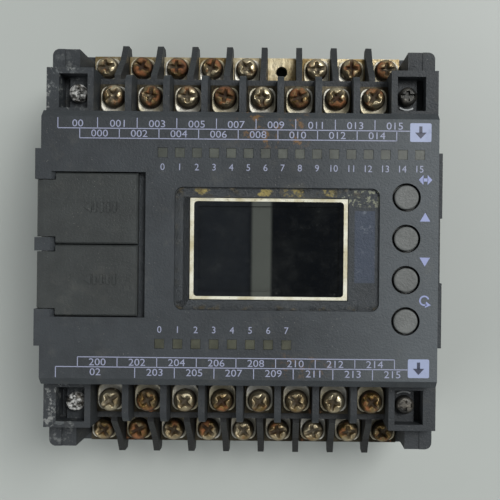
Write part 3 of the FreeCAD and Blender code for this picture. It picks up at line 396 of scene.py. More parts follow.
def lens_material(name):
    """Clear sheet: see-through, glossy, with brown residue by its upper edge and fine haze."""
    shader = Shader(name)
    x, y = shader.axes()[:2]
    low, high = (Vector(corner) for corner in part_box("display_lens"))
    edge = y.step(high.y - LENS_RESIDUE, high.y - 0.1 * MM).top(
        (y * -1.0).step(-low.y - LENS_GRIME, -low.y))
    side = (x * -1.0).step(-low.x - LENS_GRIME, -low.x)
    grime = shader.noise(420.0, 6.0, 0.7).step(0.5, 0.66) * (edge.top(side * 0.6) * 0.8 + 0.02)
    smear = shader.noise(140.0, 5.0, 0.65).step(0.48, 0.8) * 0.02
    colour = shader.mix(grime.step(0.0, 0.5), linear(110, 112, 108), linear(86, 78, 60))
    shader.set(Base_Color=colour, Roughness=grime * 0.5 + 0.1, Alpha=grime * 0.8 + smear + 0.01,
               Specular_IOR_Level=0.5)
    shader.bump(shader.noise(500.0, 4.0), 0.02 * MM, 0.3)
    return shader.material


def screen_material(name):
    """Black glass of a display that is off: a paler band, a lighter tone left of it, smudges."""
    shader = Shader(name)
    x = shader.axes()[0]
    low, high = (Vector(corner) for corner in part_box("display_glass"))
    start, end = (low.x + share * (high.x - low.x) for share in BAND)
    band = x.step(start, start + BAND_FADE) * (1.0 - x.step(end - BAND_FADE, end))
    smudge = shader.noise(150.0, 5.0, 0.7).step(0.4, 0.8)
    left = 1.0 - x.step(start - TONE_FADE, start + TONE_FADE)
    dark = shader.mix(left, linear(3, 5, 9), linear(22, 25, 29))
    final = shader.mix(band * 0.85 + smudge * 0.05, dark, linear(78, 81, 76))
    final = shader.mix(shader.noise(900.0, 5.0).step(0.68, 0.76) * 0.5, final, linear(60, 62, 60))
    shader.set(Base_Color=final, Roughness=smudge * 0.12 + 0.06, Specular_IOR_Level=0.05)
    shader.bump(smudge, 0.01 * MM, 0.2)
    return shader.material


def cream_moulding(name):
    """Aged cream bezel, yellowed and dirty in patches."""
    shader = Shader(name)
    age = shader.noise(260.0, 5.0, 0.65)
    final = shader.mix(age.step(0.35, 0.7), linear(226, 224, 206), linear(186, 176, 140))
    final = shader.mix(shader.noise(1200.0, 4.0).step(0.62, 0.72) * 0.6, final, linear(110, 94, 64))
    shader.set(Base_Color=final, Roughness=age * 0.2 + 0.34)
    shader.bump(age, 0.04 * MM, 0.4)
    return shader.material


# ---- sizes and colours to change

class CONTROLLER_PG_sizes(bpy.types.PropertyGroup):
    """Sizes of what is printed, stuck and formed on the controller."""
    ink_thick: bpy.props.FloatProperty(
        name="Ink thickness", description="How far the print stands off the face",
        default=0.02 * MM, unit="LENGTH", precision=6)
    digit_height: bpy.props.FloatProperty(
        name="Digit height", description="Height of the printed terminal numbers",
        default=1.42 * MM, unit="LENGTH", precision=6)
    rule_width: bpy.props.FloatProperty(
        name="Rule width", description="Width of the printed rules round the numbers",
        default=0.17 * MM, unit="LENGTH", precision=6)
    screw_radius: bpy.props.FloatProperty(
        name="Screw head radius", description="Radius of a terminal screw's head",
        default=2.35 * MM, unit="LENGTH", precision=6)
    terminal_pitch: bpy.props.FloatProperty(
        name="Terminal pitch", description="Spacing of the terminals",
        default=7.62 * MM, unit="LENGTH", precision=6)


class CONTROLLER_PG_colours(bpy.types.PropertyGroup):
    """Colours of the mouldings, the ink and the floor."""
    case: bpy.props.FloatVectorProperty(
        name="Case", description="Moulding of case and terminal blocks",
        subtype="COLOR", default=linear(47, 51, 54))
    cover: bpy.props.FloatVectorProperty(
        name="Covers", description="Moulding of the port covers",
        subtype="COLOR", default=linear(47, 50, 49))
    keys: bpy.props.FloatVectorProperty(
        name="Keys", description="Key caps", subtype="COLOR", default=linear(96, 98, 96))
    ink: bpy.props.FloatVectorProperty(
        name="Ink", description="Printed numbers and rules",
        subtype="COLOR", default=linear(144, 148, 170))
    badge: bpy.props.FloatVectorProperty(
        name="Badge", description="Printed patches beside the rows",
        subtype="COLOR", default=linear(146, 155, 182))
    floor: bpy.props.FloatVectorProperty(
        name="Floor", description="Pale floor", subtype="COLOR", default=linear(176, 180, 175))


def sizes():
    return bpy.context.scene.controller_sizes


def colours():
    return bpy.context.scene.controller_colours


# ---- meshes

def new_piece(name, points, faces, material, body="root", smooth=False):
    """Mesh object from arrays of points (n, 3) and faces, riding on a body."""
    mesh = bpy.data.meshes.new(name)
    mesh.from_pydata(np.asarray(points, dtype=float).tolist(), [], [list(f) for f in faces])
    mesh.validate()
    mesh.materials.append(material)
    if smooth:
        mesh.polygons.foreach_set("use_smooth", np.ones(len(mesh.polygons), dtype=bool))
    piece = bpy.data.objects.new(name, mesh)
    bpy.context.scene.collection.objects.link(piece)
    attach(piece, body)
    return piece


def grid_faces(rows, columns):
    """Quads of a grid of rows by columns points, closed along the columns."""
    row, column = np.meshgrid(np.arange(rows - 1), np.arange(columns), indexing="ij")
    follow = (column + 1) % columns
    base = row * columns
    return np.stack([base + column, base + follow, base + columns + follow,
                     base + columns + column], axis=-1).reshape(-1, 4)


def prism(outline, low, high):
    """Closed prism: an outline in X and Y, counter-clockwise, carried from low to high in Z."""
    outline = np.asarray(outline, dtype=float)
    count = len(outline)
    points = np.concatenate([np.c_[outline, np.full(count, low)],
                             np.c_[outline, np.full(count, high)]])
    faces = [tuple(range(count - 1, -1, -1)), tuple(range(count, 2 * count))]
    faces += [tuple(face) for face in grid_faces(2, count)]
    return points, faces


def joined(parts):
    """Several point and face lists as one."""
    points, faces, start = [], [], 0
    for part_points, part_faces in parts:
        points.append(part_points)
        faces += [tuple(index + start for index in face) for face in part_faces]
        start += len(part_points)
    return np.concatenate(points), faces


def bar(x0, x1, y0, y1):
    """Rectangle outline, counter-clockwise."""
    return [(x0, y0), (x1, y0), (x1, y1), (x0, y1)]


def rounded_rectangle(centre, half_x, half_y, radius, steps=8):
    """Outline of a rectangle with round corners, counter-clockwise: four arcs end to end."""
    corners = [arc((centre[0] + sx * (half_x - radius), centre[1] + sy * (half_y - radius)),
                   radius, start, start + 90, steps)
               for sx, sy, start in ((1, -1, -90), (1, 1, 0), (-1, 1, 90), (-1, -1, 180))]
    return np.concatenate(corners)


def arrow_head(base, direction, length, half):
    """Triangle outline, counter-clockwise: base + length * d, base + half * n, base - half * n.

    d is the unit direction in which it points, and n is d turned by 90 degrees.
    """
    base, along = np.asarray(base), np.asarray(direction)
    normal = np.array((-along[1], along[0]))
    return [base + length * along, base + half * normal, base - half * normal]


def ring(outer, inner, low, high):
    """Flat band between two outlines that have as many points."""
    count = len(outer)
    levels = ((outer, low), (outer, high), (inner, high), (inner, low))
    points = np.concatenate([np.c_[loop, np.full(count, level)] for loop, level in levels])
    faces = []
    for a, b in ((0, 1), (1, 2), (2, 3), (3, 0)):
        for here in range(count):
            after = (here + 1) % count
            faces.append((a * count + here, a * count + after, b * count + after,
                          b * count + here))
    return points, faces


def stroke(path, width):
    """Outline of a line of constant width: each point moved half the width along the normal."""
    path = np.asarray(path, dtype=float)
    along = np.gradient(path, axis=0)
    along /= np.linalg.norm(along, axis=1)[:, None]
    normal = np.c_[-along[:, 1], along[:, 0]] * width / 2
    return np.concatenate([path - normal, (path + normal)[::-1]])


def arc(centre, radius, start, end, count=24):
    """Points of a circle's arc between two angles in degrees."""
    angle = np.radians(np.linspace(start, end, count))
    return np.c_[centre[0] + radius * np.cos(angle), centre[1] + radius * np.sin(angle)]


def raised(name, outlines, low, thick, material, body="root"):
    """Piece made of outlines, each carried up from a level by a thickness."""
    solids = [prism(outline, low, low + thick) for outline in outlines]
    return new_piece(name, *joined(solids), material, body)


DIGIT_SHARE = 0.73  # height of a digit as a share of the font's size


def text_parts(words, height, centre, widen=1.0):
    """Digits as raised mesh letters on the face, centred on a point and widened along X."""
    level, thick = face_top(), sizes().ink_thick
    curve = bpy.data.curves.new("digits", "FONT")
    curve.body = words
    curve.size = height / DIGIT_SHARE
    curve.extrude = thick / 2
    curve.resolution_u = 3
    curve.align_x = curve.align_y = "CENTER"
    holder = bpy.data.objects.new("digits", curve)
    bpy.context.scene.collection.objects.link(holder)
    bpy.context.view_layer.update()
    mesh = bpy.data.meshes.new_from_object(
        holder.evaluated_get(bpy.context.evaluated_depsgraph_get()))
    points = np.empty(len(mesh.vertices) * 3)
    mesh.vertices.foreach_get("co", points)
    points = points.reshape(-1, 3)
    middle = (points.min(axis=0) + points.max(axis=0)) / 2
    points = (points - middle) * (widen, 1.0, 1.0) + (centre[0], centre[1], level + thick / 2)
    faces = [tuple(polygon.vertices) for polygon in mesh.polygons]
    bpy.data.objects.remove(holder)
    bpy.data.curves.remove(curve)
    bpy.data.meshes.remove(mesh)
    return points, faces


def face_top():
    """Height of the flat face."""
    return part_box("front_case")[1][2]


def span_middle(node, axis):
    """Middle of a CAD node's box along an axis."""
    low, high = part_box(node)
    return (low[axis] + high[axis]) / 2


def finish(material, *nodes):
    """Gives CAD nodes their material."""
    for node in nodes:
        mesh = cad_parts[node].data
        mesh.materials.clear()
        mesh.materials.append(material)


# ---- pieces

class CONTROLLER_OT_mouldings(bpy.types.Operator):
    """Finish the case, terminal blocks, covers, keys and rail latch"""
    bl_idname = "controller.mouldings"
    bl_label = "Mouldings"

    def execute(self, context):
        case = tuple(colours().case)
        finish(moulded("case_moulding", case, marks=face_marks), "front_case")
        finish(moulded("base_moulding", case), "rear_base", "expansion_cover")
        finish(moulded("block_moulding", shade(case, 0.9), dust=0.5, marks=block_marks),
               "upper_terminal_block", "lower_terminal_block")
        finish(moulded("cover_moulding", tuple(colours().cover), dust=0.25, gloss=0.44),
               "upper_port_cover", "lower_port_cover", "rail_latch")
        finish(moulded("key_moulding", tuple(colours().keys), dust=0.2, gloss=0.42),
               "key_swap", "key_up", "key_down", "key_turn")
        finish(translucent_window("input_window_moulding", linear(70, 73, 66)),
               "input_lamp_windows")
        finish(translucent_window("output_window_moulding", linear(66, 67, 54)),
               "output_lamp_windows")
        return {"FINISHED"}


# Black mask on the bezel: how far its outlines lie in from the sides and ends, and their radii.
MASK_OUTER = (0.75 * MM, 0.6 * MM, 0.7 * MM)
MASK_INNER = (1.6 * MM, 1.5 * MM, 0.4 * MM)
MASK_THICK = 0.02 * MM


class CONTROLLER_OT_display(bpy.types.Operator):
    """Finish the lens, bezel, glass and backlight"""
    bl_idname = "controller.display"
    bl_label = "Display"

    def execute(self, context):
        finish(lens_material("lens_sheet"), "display_lens")
        finish(cream_moulding("cream_bezel"), "display_bezel")
        low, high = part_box("display_bezel")
        centre = (span_middle("display_bezel", 0), span_middle("display_bezel", 1))
        half = ((high[0] - low[0]) / 2, (high[1] - low[1]) / 2)
        loops = [rounded_rectangle(centre, half[0] - side, half[1] - end, corner)
                 for side, end, corner in (MASK_OUTER, MASK_INNER)]
        new_piece("screen_mask", *ring(*loops, high[2], high[2] + MASK_THICK),
                  screen_material("mask_black"))
        finish(screen_material("dark_screen"), "display_glass")
        finish(moulded("backlight_diffuser", linear(200, 200, 196), dust=0.1),
               "display_backlight")
        return {"FINISHED"}


class CONTROLLER_OT_metalwork(bpy.types.Operator):
    """Finish the terminal plates, the block screws and the hinge pin"""
    bl_idname = "controller.metalwork"
    bl_label = "Metalwork"

    def execute(self, context):
        oily = plated("oily_plate_plating", linear(86, 80, 66), linear(44, 40, 32),
                      rust_amount=0.04, roughness=0.34)
        pale = plated("pale_plate_plating", linear(190, 180, 152), linear(126, 108, 72),
                      rust_amount=0.03, roughness=0.3)
        finish(oily, "upper_inner_plates", "lower_inner_plates", "lower_outer_plates")
        finish(pale, "upper_outer_plates")
        finish(dull_screw("block_screw_plating"), "block_screws")
        finish(plain_metal("pin_steel", linear(170, 170, 168), 0.3), "cover_hinge_pin")
        return {"FINISHED"}


def screw_head(radius, height, rows=30, columns=64):
    """Pan head with a cross recess, one of whose wings is longer, like a slot.

    Height over a polar grid: height * (1 - (r / R)^4)^(1/2), less a recess that is deepest at the
    middle and fades along each wing: depth * (1 - (u / L)^2) where |v| is under half the width.
    The middle pit is at full depth up to a quarter of a wing's width from the axis, and ends at
    one and a quarter.
    """
    long_wing, short_wing, width = 0.86 * radius, 0.66 * radius, 0.3 * radius
    slope = 0.22 * width
    depth, skirt_drop = 0.62 * height, 0.2 * height
    reach = np.sin(np.linspace(0.0, math.pi / 2, rows)) * radius
    angle = np.linspace(0.0, 2 * math.pi, columns, endpoint=False)
    r, a = np.meshgrid(reach, angle, indexing="ij")
    x, y = r * np.cos(a), r * np.sin(a)
    dome = height * np.sqrt(np.clip(1 - (r / radius) ** 4, 0, 1))

    def wing(u, v, length):
        side = np.clip((width / 2 - np.abs(v)) / slope + 0.5, 0, 1)
        return side * np.clip(1 - (u / length) ** 2, 0, 1)

    recess = np.maximum(wing(x, y, long_wing), wing(y, x, short_wing))
    recess = np.maximum(recess, np.clip(1.25 - r / width, 0, 1))
    points = np.stack([x, y, dome - depth * recess], axis=-1).reshape(-1, 3)
    points[:columns] = (0.0, 0.0, points[0, 2])
    skirt = np.c_[x[-1], y[-1], np.full(columns, -skirt_drop)]
    points = np.concatenate([points, skirt])
    faces = [tuple(face) for face in grid_faces(rows + 1, columns)]
    faces.append(tuple(range(rows * columns + columns - 1, rows * columns - 1, -1)))
    return points, faces


def pressed_washer(half, inner, thick, columns=64):
    """Square washer with round corners about Z, its rim rolled over and its middle dished.

    The outline is the superellipse |x|^4 + |y|^4 = half^4, cut by a circle at its corners. A loop
    of the section lies at a share of the way from bore to outline and a share of the thickness.
    """
    angle = np.linspace(0, 2 * math.pi, columns, endpoint=False)
    cosine, sine = np.cos(angle), np.sin(angle)
    corner_reach = 1.17 * half
    outline = np.minimum(half / (np.abs(cosine) ** 4 + np.abs(sine) ** 4) ** 0.25, corner_reach)
    section = ((0.0, 0.0), (1.0, 0.0), (1.0, 0.55), (0.985, 0.82), (0.95, 0.97), (0.9, 1.0),
               (0.78, 0.86), (0.3, 0.62), (0.0, 0.6))
    loops = []
    for share, level in section:
        radius = inner + (outline - inner) * share
        loops.append(np.c_[radius * cosine, radius * sine, np.full(columns, level * thick)])
    faces = [tuple(face) for face in grid_faces(len(section), columns)]
    last = (len(section) - 1) * columns
    faces += [(last + i, last + (i + 1) % columns, (i + 1) % columns, i) for i in range(columns)]
    return np.concatenate(loops), faces


OUTWARD = {"upper": 1, "lower": -1}  # along Y, away from the middle of the face
TERMINALS = {"inner": 8, "outer": 9}
EMPTY_NODE, EMPTY_TERMINAL = "upper_outer_screws", 5  # one terminal has lost its screw


def terminal_x(tier, index):
    """Place along X of a terminal in a row: (index - (count - 1) / 2) * pitch."""
    return (index - (TERMINALS[tier] - 1) / 2) * sizes().terminal_pitch


HEAD_HEIGHT = 1.75 * MM
HEAD_LEAN = 0.06  # most that a head leans each way, in radians
HEAD_OFF_ROW = 0.4 * MM  # heads stand outward of the middle of their row
HEAD_LIFT = 0.12 * MM  # above the washers
HEAD_RUST = {"upper": 0.14, "lower": 0.1}
HEAD_SHADE_AND_DIRT = (0.55, 0.95)  # painted shade and dirt fade between these shares of a head's height

WASHER_HALF = 2.75 * MM
WASHER_BORE = 1.3 * MM
WASHER_OFF_ROW = 0.2 * MM  # washers lie inward of the row

BLOCK_HEAD = 1.85 * MM  # head radius of a block screw
WIRE = 0.3 * MM
CLIP_BEND = 2.55 * MM
CLIP_TURN = (60, 125)  # degrees inward from +X between which the wire runs
CLIP_DROP = 1.9 * MM  # top of the block screws to the level that the wire lies on
HOOK_PLACE = (0.1 * MM, 0.62 * MM)  # first wire to the second, along +X and inward
HOOK_POINTS = 14  # how many of the first wire's points the second repeats


class CONTROLLER_OT_screws(bpy.types.Operator):
    """Make the terminal screws and washers, each turned and leaning a little in its own way"""
    bl_idname = "controller.screws"
    bl_label = "Terminal screws"

    def clips(self):
        """Bent wire clips that lie in the pockets beside the block screws on the +X side."""
        metal = plain_metal("clip_wire", linear(128, 130, 130), 0.4)
        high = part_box("block_screws")[1]
        floor = high[2] - CLIP_DROP
        for side, out in OUTWARD.items():
            centre = (high[0] - BLOCK_HEAD, out * (high[1] - BLOCK_HEAD))
            path = arc(centre, CLIP_BEND, *(-out * turn for turn in CLIP_TURN))
            hook = (path + (HOOK_PLACE[0], -out * HOOK_PLACE[1]))[:HOOK_POINTS]
            wires = [stroke(line, WIRE) for line in (path, hook)]
            raised(f"{side}_pocket_clip", wires, floor, WIRE, metal)

    def washers(self, side, tier, row, places):
        """Square pressed washers of one row, at given places along X."""
        node = f"{side}_{tier}_washers"
        low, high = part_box(node)
        points, faces = pressed_washer(WASHER_HALF, WASHER_BORE, high[2] - low[2])
        middle = row - OUTWARD[side] * WASHER_OFF_ROW
        parts = [(points + (x, middle, low[2]), faces) for x in places]
        metal = plated(f"{node}_plating", linear(226, 224, 214), linear(186, 176, 146),
                       rust_amount=0.0, roughness=0.34, shine=0.45)
        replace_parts(new_piece(f"{node}_pressed", *joined(parts), metal, smooth=True), node)

    def heads(self, side, tier, row, rng):
        """Screw heads of one row; returns their places along X."""
        node = f"{side}_{tier}_screws"
        base_points, base_faces = screw_head(sizes().screw_radius, HEAD_HEIGHT)
        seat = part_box(f"{side}_{tier}_washers")[1][2]
        middle = row + OUTWARD[side] * HEAD_OFF_ROW
        parts, places = [], []
        for index in range(TERMINALS[tier]):
            turn, lean, way = rng.uniform(0, 2 * math.pi, 3)
            if (node, index) == (EMPTY_NODE, EMPTY_TERMINAL):
                continue
            tilt = Euler((HEAD_LEAN * math.sin(lean), HEAD_LEAN * math.cos(way), turn))
            x = terminal_x(tier, index)
            points = base_points @ np.array(tilt.to_matrix()).T + (x, middle, seat + HEAD_LIFT)
            parts.append((points, base_faces))
            places.append(x)
        # each head darkens low down, in its recess and at its skirt: painted shade with dirt
        metal = plated(f"{node}_plating", linear(198, 188, 160), linear(120, 96, 52),
                       HEAD_RUST[side],
                       depth=tuple(seat + share * HEAD_HEIGHT for share in HEAD_SHADE_AND_DIRT))
        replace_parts(new_piece(f"{node}_heads", *joined(parts), metal, smooth=True), node)
        return places

    def execute(self, context):
        rng = np.random.default_rng(7)
        for side in OUTWARD:
            for tier in TERMINALS:
                row = span_middle(f"{side}_{tier}_screws", 1)
                places = self.heads(side, tier, row, rng)
                self.washers(side, tier, row, places)
        self.clips()
        return {"FINISHED"}


class CONTROLLER_OT_electronics(bpy.types.Operator):
    """Finish boards, connectors, chips, contacts and lamps"""
    bl_idname = "controller.electronics"
    bl_label = "Electronics"

    def execute(self, context):
        finish(board_material("green_board", linear(28, 92, 52)),
               "terminal_board", "processor_board", "display_board")
        finish(moulded("black_connector", linear(34, 34, 36), dust=0.15, gloss=0.4),
               "upper_port_jack", "lower_port_jack", "expansion_connector",
               "upper_block_header", "lower_block_header", "upper_board_connector",
               "lower_board_connector", "key_switches")
        finish(moulded("chip_epoxy", linear(30, 30, 32), dust=0.1, gloss=0.5),
               "processor_chip", "memory_chip", "output_driver_chips", "input_couplers",
               "power_inductor")
        finish(plain_metal("gold_contact", linear(226, 188, 96), 0.22),
               "upper_port_jack_contacts", "lower_port_jack_contacts",
               "upper_header_pins", "lower_header_pins", "board_standoffs")
        finish(plain_metal("can_metal", linear(190, 192, 196), 0.3), "power_capacitors")
        finish(translucent_window("lamp_epoxy", linear(206, 206, 190)),
               "input_leds", "output_leds")
        return {"FINISHED"}


# Print beside each block, as distances along Y from the middle of the face: two rows of numbers,
# the rule between them, the rule under the inner row, and the end of the outer upright rules. Both
# rows lie a little to -X of the terminals.
OUTER_ROW, INNER_ROW = 23.9 * MM, 22.0 * MM
MIDDLE_RULE, INNER_RULE, OUTER_END = 22.95 * MM, 21.05 * MM, 25.0 * MM
OUTER_SHIFT, INNER_SHIFT = 0.8 * MM, 0.4 * MM
MIDDLE_RULE_END = 32.6 * MM  # along X, short of the badge
WIDEN = 1.15
FIRST_NUMBERS = {"upper": 0, "lower": 200}
LAMP_NUMBER = 1.35 * MM  # height of the numbers beside the lamps
LAMP_NUMBER_OFF = 2.75 * MM  # from the row of lamps


class CONTROLLER_OT_numbers(bpy.types.Operator):
    """Print the terminal numbers, their rules and the lamp numbers"""
    bl_idname = "controller.numbers"
    bl_label = "Printed numbers"

    def terminal_row(self, side):
        """Numbers and rules beside one block, and each upright rule as X and two places in Y."""
        level, thick = face_top(), sizes().ink_thick
        tall, rule, pitch = sizes().digit_height, sizes().rule_width, sizes().terminal_pitch
        first, out = FIRST_NUMBERS[side], OUTWARD[side]
        line, inner_line = out * MIDDLE_RULE, out * INNER_RULE
        outer_span, inner_span = sorted((line, out * OUTER_END)), sorted((line, inner_line))
        parts, uprights = [], []
        for index in range(TERMINALS["outer"]):
            x = terminal_x("outer", index) - OUTER_SHIFT
            words = f"{first + 2 * index - 1:03d}" if index else f"{first // 100:02d}"
            if side == "lower" and index == 1:
                continue
            if side == "lower" and index == 0:
                x += pitch / 2      # the lower block's first number stands for two terminals
            parts.append(text_parts(words, tall, (x, out * OUTER_ROW), WIDEN))
            if index:
                uprights.append((x - pitch / 2, outer_span))
        for index in range(TERMINALS["inner"]):
            x = terminal_x("inner", index) - INNER_SHIFT
            words = f"{first + 2 * index:03d}"
            parts.append(text_parts(words, tall, (x, out * INNER_ROW), WIDEN))
            uprights.append((x - pitch / 2, inner_span))
        outer_start = terminal_x("outer", -0.5) - OUTER_SHIFT
        inner_start = terminal_x("inner", -0.5) - INNER_SHIFT
        inner_end = terminal_x("inner", TERMINALS["inner"] - 0.5) - INNER_SHIFT
        uprights += [(outer_start, outer_span), (inner_end, inner_span)]
        for start, end, y in ((outer_start, MIDDLE_RULE_END, line),
                              (inner_start, inner_end, inner_line)):
            parts.append(prism(bar(start, end, y - rule / 2, y + rule / 2), level, level + thick))
        return parts, uprights

    def lamp_row(self, node, count, offset):
        """Numbers from 0 beside a row of lamps, at an offset in Y from its middle."""
        low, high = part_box(node)
        half = (high[1] - low[1]) / 2
        start, end = low[0] + half, high[0] - half
        y = span_middle(node, 1) + offset
        return [text_parts(str(index), LAMP_NUMBER,
                           (start + (end - start) * index / (count - 1), y))
                for index in range(count)]

    def execute(self, context):
        level, thick, rule = face_top(), sizes().ink_thick, sizes().rule_width
        ink = print_ink("pale_ink", tuple(colours().ink))
        upper, upper_rules = self.terminal_row("upper")
        lower, lower_rules = self.terminal_row("lower")
        uprights = [prism(bar(x - rule / 2, x + rule / 2, low, high), level, level + thick)
                    for x, (low, high) in upper_rules + lower_rules]
        new_piece("terminal_numbers", *joined(upper + lower + uprights), ink)
        small = (self.lamp_row("input_lamp_windows", 16, -LAMP_NUMBER_OFF)
                 + self.lamp_row("output_lamp_windows", 8, LAMP_NUMBER_OFF))
        new_piece("lamp_numbers", *joined(small), ink)
        return {"FINISHED"}


BADGE_PLACE = (34.7 * MM, 22.7 * MM)
BADGE_HALF = (2.05 * MM, 1.8 * MM)
BADGE_CORNER = 0.3 * MM
BADGE_SHAFT = (0.3 * MM, 0.1 * MM, 1.2 * MM)  # half width, below and above the middle
BADGE_HEAD = (1.2 * MM, 1.1 * MM)  # length and half width


class CONTROLLER_OT_badges(bpy.types.Operator):
    """Print the two pale patches, each with a plain arrow that points to -Y"""
    bl_idname = "controller.badges"
    bl_label = "Badges"

    def execute(self, context):
        level, thick = face_top(), sizes().ink_thick
        patch = print_ink("badge_ink", tuple(colours().badge), 0.2)
        dark = print_ink("badge_arrow_ink", linear(52, 56, 74), 0.1)
        half_shaft, below, above = BADGE_SHAFT
        for name, side in (("input", "upper"), ("output", "lower")):
            x, y = BADGE_PLACE[0], OUTWARD[side] * BADGE_PLACE[1]
            corners = rounded_rectangle((x, y), *BADGE_HALF, BADGE_CORNER, 6)
            raised(f"{name}_badge", [corners], level, thick, patch)
            shaft = bar(x - half_shaft, x + half_shaft, y - below, y + above)
            head = arrow_head((x, y), (0, -1), *BADGE_HEAD)
            raised(f"{name}_badge_arrow", [shaft, head], level + thick, thick, dark)
        return {"FINISHED"}


SIGN_X = 35.7 * MM
SIGN_ABOVE = {"swap": 3.4 * MM, "up": 4.1 * MM, "down": 3.6 * MM, "turn": 4.0 * MM}
SWAP_GAP = 0.4 * MM  # middle of the swap sign to the base of each head
SWAP_HEAD = (0.9 * MM, 0.95 * MM)
SWAP_BAR = (0.5 * MM, 0.3 * MM)
PLAIN_BASE = 0.75 * MM  # middle of the up and down signs to their bases
PLAIN_HEAD = (1.7 * MM, 1.0 * MM)
TURN_ARC = (0.85 * MM, 20, 300)  # radius, and the degrees between which it runs
TURN_WIDTH = 0.3 * MM
TURN_HEAD = ((0.1, -1.35), (1.25, -0.85), (0.35, -0.15))  # in millimetres


class CONTROLLER_OT_key_signs(bpy.types.Operator):
    """Print a plain arrow sign above each key"""
    bl_idname = "controller.key_signs"
    bl_label = "Key signs"

    def execute(self, context):
        ink = print_ink("key_sign_ink", linear(138, 146, 184), 0.25)
        x = SIGN_X
        rows = {name: span_middle(f"key_{name}", 1) + rise for name, rise in SIGN_ABOVE.items()}
        y = rows["swap"]
        swap = [arrow_head((x - SWAP_GAP, y), (-1, 0), *SWAP_HEAD),
                arrow_head((x + SWAP_GAP, y), (1, 0), *SWAP_HEAD),
                bar(x - SWAP_BAR[0], x + SWAP_BAR[0], y - SWAP_BAR[1], y + SWAP_BAR[1])]
        up = [arrow_head((x, rows["up"] - PLAIN_BASE), (0, 1), *PLAIN_HEAD)]
        down = [arrow_head((x, rows["down"] + PLAIN_BASE), (0, -1), *PLAIN_HEAD)]
        y = rows["turn"]
        turn = [stroke(arc((x, y), *TURN_ARC), TURN_WIDTH),
                [(x + along * MM, y + above * MM) for along, above in TURN_HEAD]]
        for name, outlines in (("swap", swap), ("up", up), ("down", down), ("turn", turn)):
            raised(f"{name}_sign", outlines, face_top(), sizes().ink_thick, ink)
        return {"FINISHED"}


COVER_RELIEF = 0.2 * MM
COVER_MARK_IN = 6.9 * MM  # middle of the marks from the +X edge of a cover
COVER_MARK_UP = 0.2 * MM  # above the cover's middle
COVER_HEAD_BASE = 2.0 * MM  # middle of the marks to the base of the arrow head
COVER_HEAD = (1.4 * MM, 0.95 * MM)
GRIP_START, GRIP_STEP, GRIP_WIDE, GRIP_HALF = 1.5 * MM, 1.25 * MM, 0.5 * MM, 0.9 * MM
GRIP_BARS = 4


class CONTROLLER_OT_cover_marks(bpy.types.Operator):
    """Raise a row of grip bars and an arrow head on each port cover"""
    bl_idname = "controller.cover_marks"
    bl_label = "Cover marks"

    def execute(self, context):
        # the marks are the cover's own plastic made 12% lighter: a painted highlight on the raised
        # relief
        material = moulded("cover_mark_moulding", shade(tuple(colours().cover), 1.12), dust=0.3,
                           gloss=0.4)
        for side in OUTWARD:
            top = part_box(f"{side}_port_cover")[1]
            x, y = top[0] - COVER_MARK_IN, span_middle(f"{side}_port_cover", 1) + COVER_MARK_UP
            outlines = [arrow_head((x - COVER_HEAD_BASE, y), (-1, 0), *COVER_HEAD)]
            for index in range(GRIP_BARS):
                start = x - GRIP_START + index * GRIP_STEP
                outlines.append(bar(start, start + GRIP_WIDE, y - GRIP_HALF, y + GRIP_HALF))
            raised(f"{side}_cover_marks", outlines, top[2], COVER_RELIEF, material,
                   f"{side}_cover")
        return {"FINISHED"}


def soft_room():
    """World that is bright towards the sides and darker straight overhead."""
    world = bpy.data.worlds.new("soft_room")
    world.use_nodes = True
    tree = world.node_tree
    coordinates = tree.nodes.new("ShaderNodeTexCoord")
    axes = tree.nodes.new("ShaderNodeSeparateXYZ")
    level = tree.nodes.new("ShaderNodeMapRange")
    level.interpolation_type = "SMOOTHSTEP"
    # how far up a ray points, from 0 at the horizon to 1 overhead, and the strengths there
    for name, number in (("From Min", 0.55), ("From Max", 0.97), ("To Min", 0.58),
                         ("To Max", 0.2)):
        level.inputs[name].default_value = number
    tree.links.new(coordinates.outputs["Generated"], axes.inputs[0])
    tree.links.new(axes.outputs["Z"], level.inputs["Value"])
    background = tree.nodes["Background"]
    background.inputs["Color"].default_value = (0.93, 0.97, 1.0, 1.0)
    tree.links.new(level.outputs[0], background.inputs["Strength"])
    return world


FLOOR_REACH = 3.0
CAMERA_PLACE = (9.3 * MM, -0.7 * MM)
CAMERA_ABOVE_FACE = 144.2 * MM
CAMERA_LENS, CAMERA_SENSOR = 54.0, 36.0  # millimetres
CAMERA_SHIFT = (-0.075, 0.006)  # as shares of the picture's width
CAMERA_ROLL = 0.58  # degrees


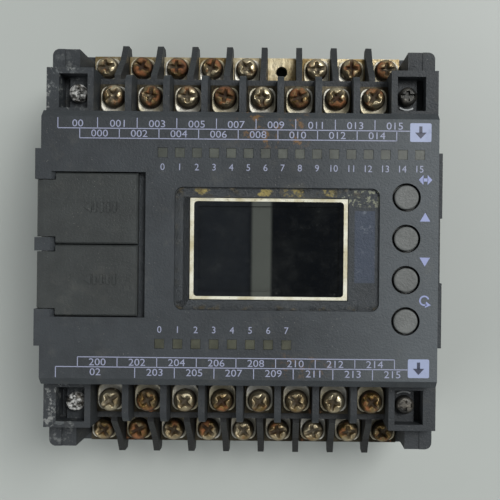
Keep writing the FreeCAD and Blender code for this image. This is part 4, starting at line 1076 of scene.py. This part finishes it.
class CONTROLLER_OT_stage(bpy.types.Operator):
    """Set the floor, the lamps, the world and the camera"""
    bl_idname = "controller.stage"
    bl_label = "Stage"

    def execute(self, context):
        scene = context.scene
        shader = Shader("pale_floor")
        cloud = shader.noise(7.0, 5.0, 0.6).step(0.25, 0.75)
        final = shader.mix(cloud, shade(tuple(colours().floor), 0.94), tuple(colours().floor))
        shader.set(Base_Color=final, Roughness=0.45, Specular_IOR_Level=0.35)
        mesh = bpy.data.meshes.new("floor")
        corners = bar(-FLOOR_REACH, FLOOR_REACH, -FLOOR_REACH, FLOOR_REACH)
        mesh.from_pydata([(x, y, 0.0) for x, y in corners], [], [(0, 1, 2, 3)])
        mesh.materials.append(shader.material)
        floor = bpy.data.objects.new("floor", mesh)
        scene.collection.objects.link(floor)

        def lamp(name, place, aim, size, power):
            """Square lamp at a place, turned to an aim; size in metres and power in watts."""
            light = bpy.data.lights.new(name, "AREA")
            light.shape, light.size, light.energy = "SQUARE", size, power
            item = bpy.data.objects.new(name, light)
            item.location = place
            direction = Vector(aim) - Vector(place)
            item.rotation_euler = direction.to_track_quat("-Z", "Y").to_euler()
            scene.collection.objects.link(item)

        lamp("overhead_lamp", (0.46, 0.34, 0.95), (0.02, 0, 0), 0.45, 8.5)
        lamp("fill_lamp", (-0.9, -0.6, 0.7), (0, 0, 0), 0.8, 3.5)
        scene.world = soft_room()
        scene.view_settings.view_transform = "Standard"

        camera = bpy.data.cameras.new("camera")
        camera.lens, camera.sensor_width = CAMERA_LENS, CAMERA_SENSOR
        camera.shift_x, camera.shift_y = CAMERA_SHIFT
        camera.clip_start = 5 * MM
        view = bpy.data.objects.new("camera", camera)
        place = Matrix.Translation((*CAMERA_PLACE, face_top() + CAMERA_ABOVE_FACE))
        view.matrix_world = place @ Matrix.Rotation(math.radians(CAMERA_ROLL), 4, "Z")
        scene.collection.objects.link(view)
        scene.camera = view
        return {"FINISHED"}


OPERATORS = (
    CONTROLLER_OT_mouldings, CONTROLLER_OT_display, CONTROLLER_OT_metalwork,
    CONTROLLER_OT_screws, CONTROLLER_OT_electronics, CONTROLLER_OT_numbers, CONTROLLER_OT_badges,
    CONTROLLER_OT_key_signs, CONTROLLER_OT_cover_marks, CONTROLLER_OT_stage,
)


class CONTROLLER_PT_panel(bpy.types.Panel):
    """Lists the operators in the order in which they run"""
    bl_idname = "CONTROLLER_PT_panel"
    bl_label = "Controller"
    bl_space_type = "VIEW_3D"
    bl_region_type = "UI"
    bl_category = "Controller"

    def draw(self, context):
        for operator in OPERATORS:
            self.layout.operator(operator.bl_idname)


CLASSES = (CONTROLLER_PG_sizes, CONTROLLER_PG_colours, *OPERATORS, CONTROLLER_PT_panel)


def register():
    for item in CLASSES:
        bpy.utils.register_class(item)
    bpy.types.Scene.controller_sizes = bpy.props.PointerProperty(type=CONTROLLER_PG_sizes)
    bpy.types.Scene.controller_colours = bpy.props.PointerProperty(type=CONTROLLER_PG_colours)


def unregister():
    del bpy.types.Scene.controller_colours
    del bpy.types.Scene.controller_sizes
    for item in reversed(CLASSES):
        bpy.utils.unregister_class(item)


def main():
    """Runs every operator in order."""
    register()
    for operator in OPERATORS:
        group, name = operator.bl_idname.split(".")
        getattr(getattr(bpy.ops, group), name)()


if __name__ == "__main__":
    main()
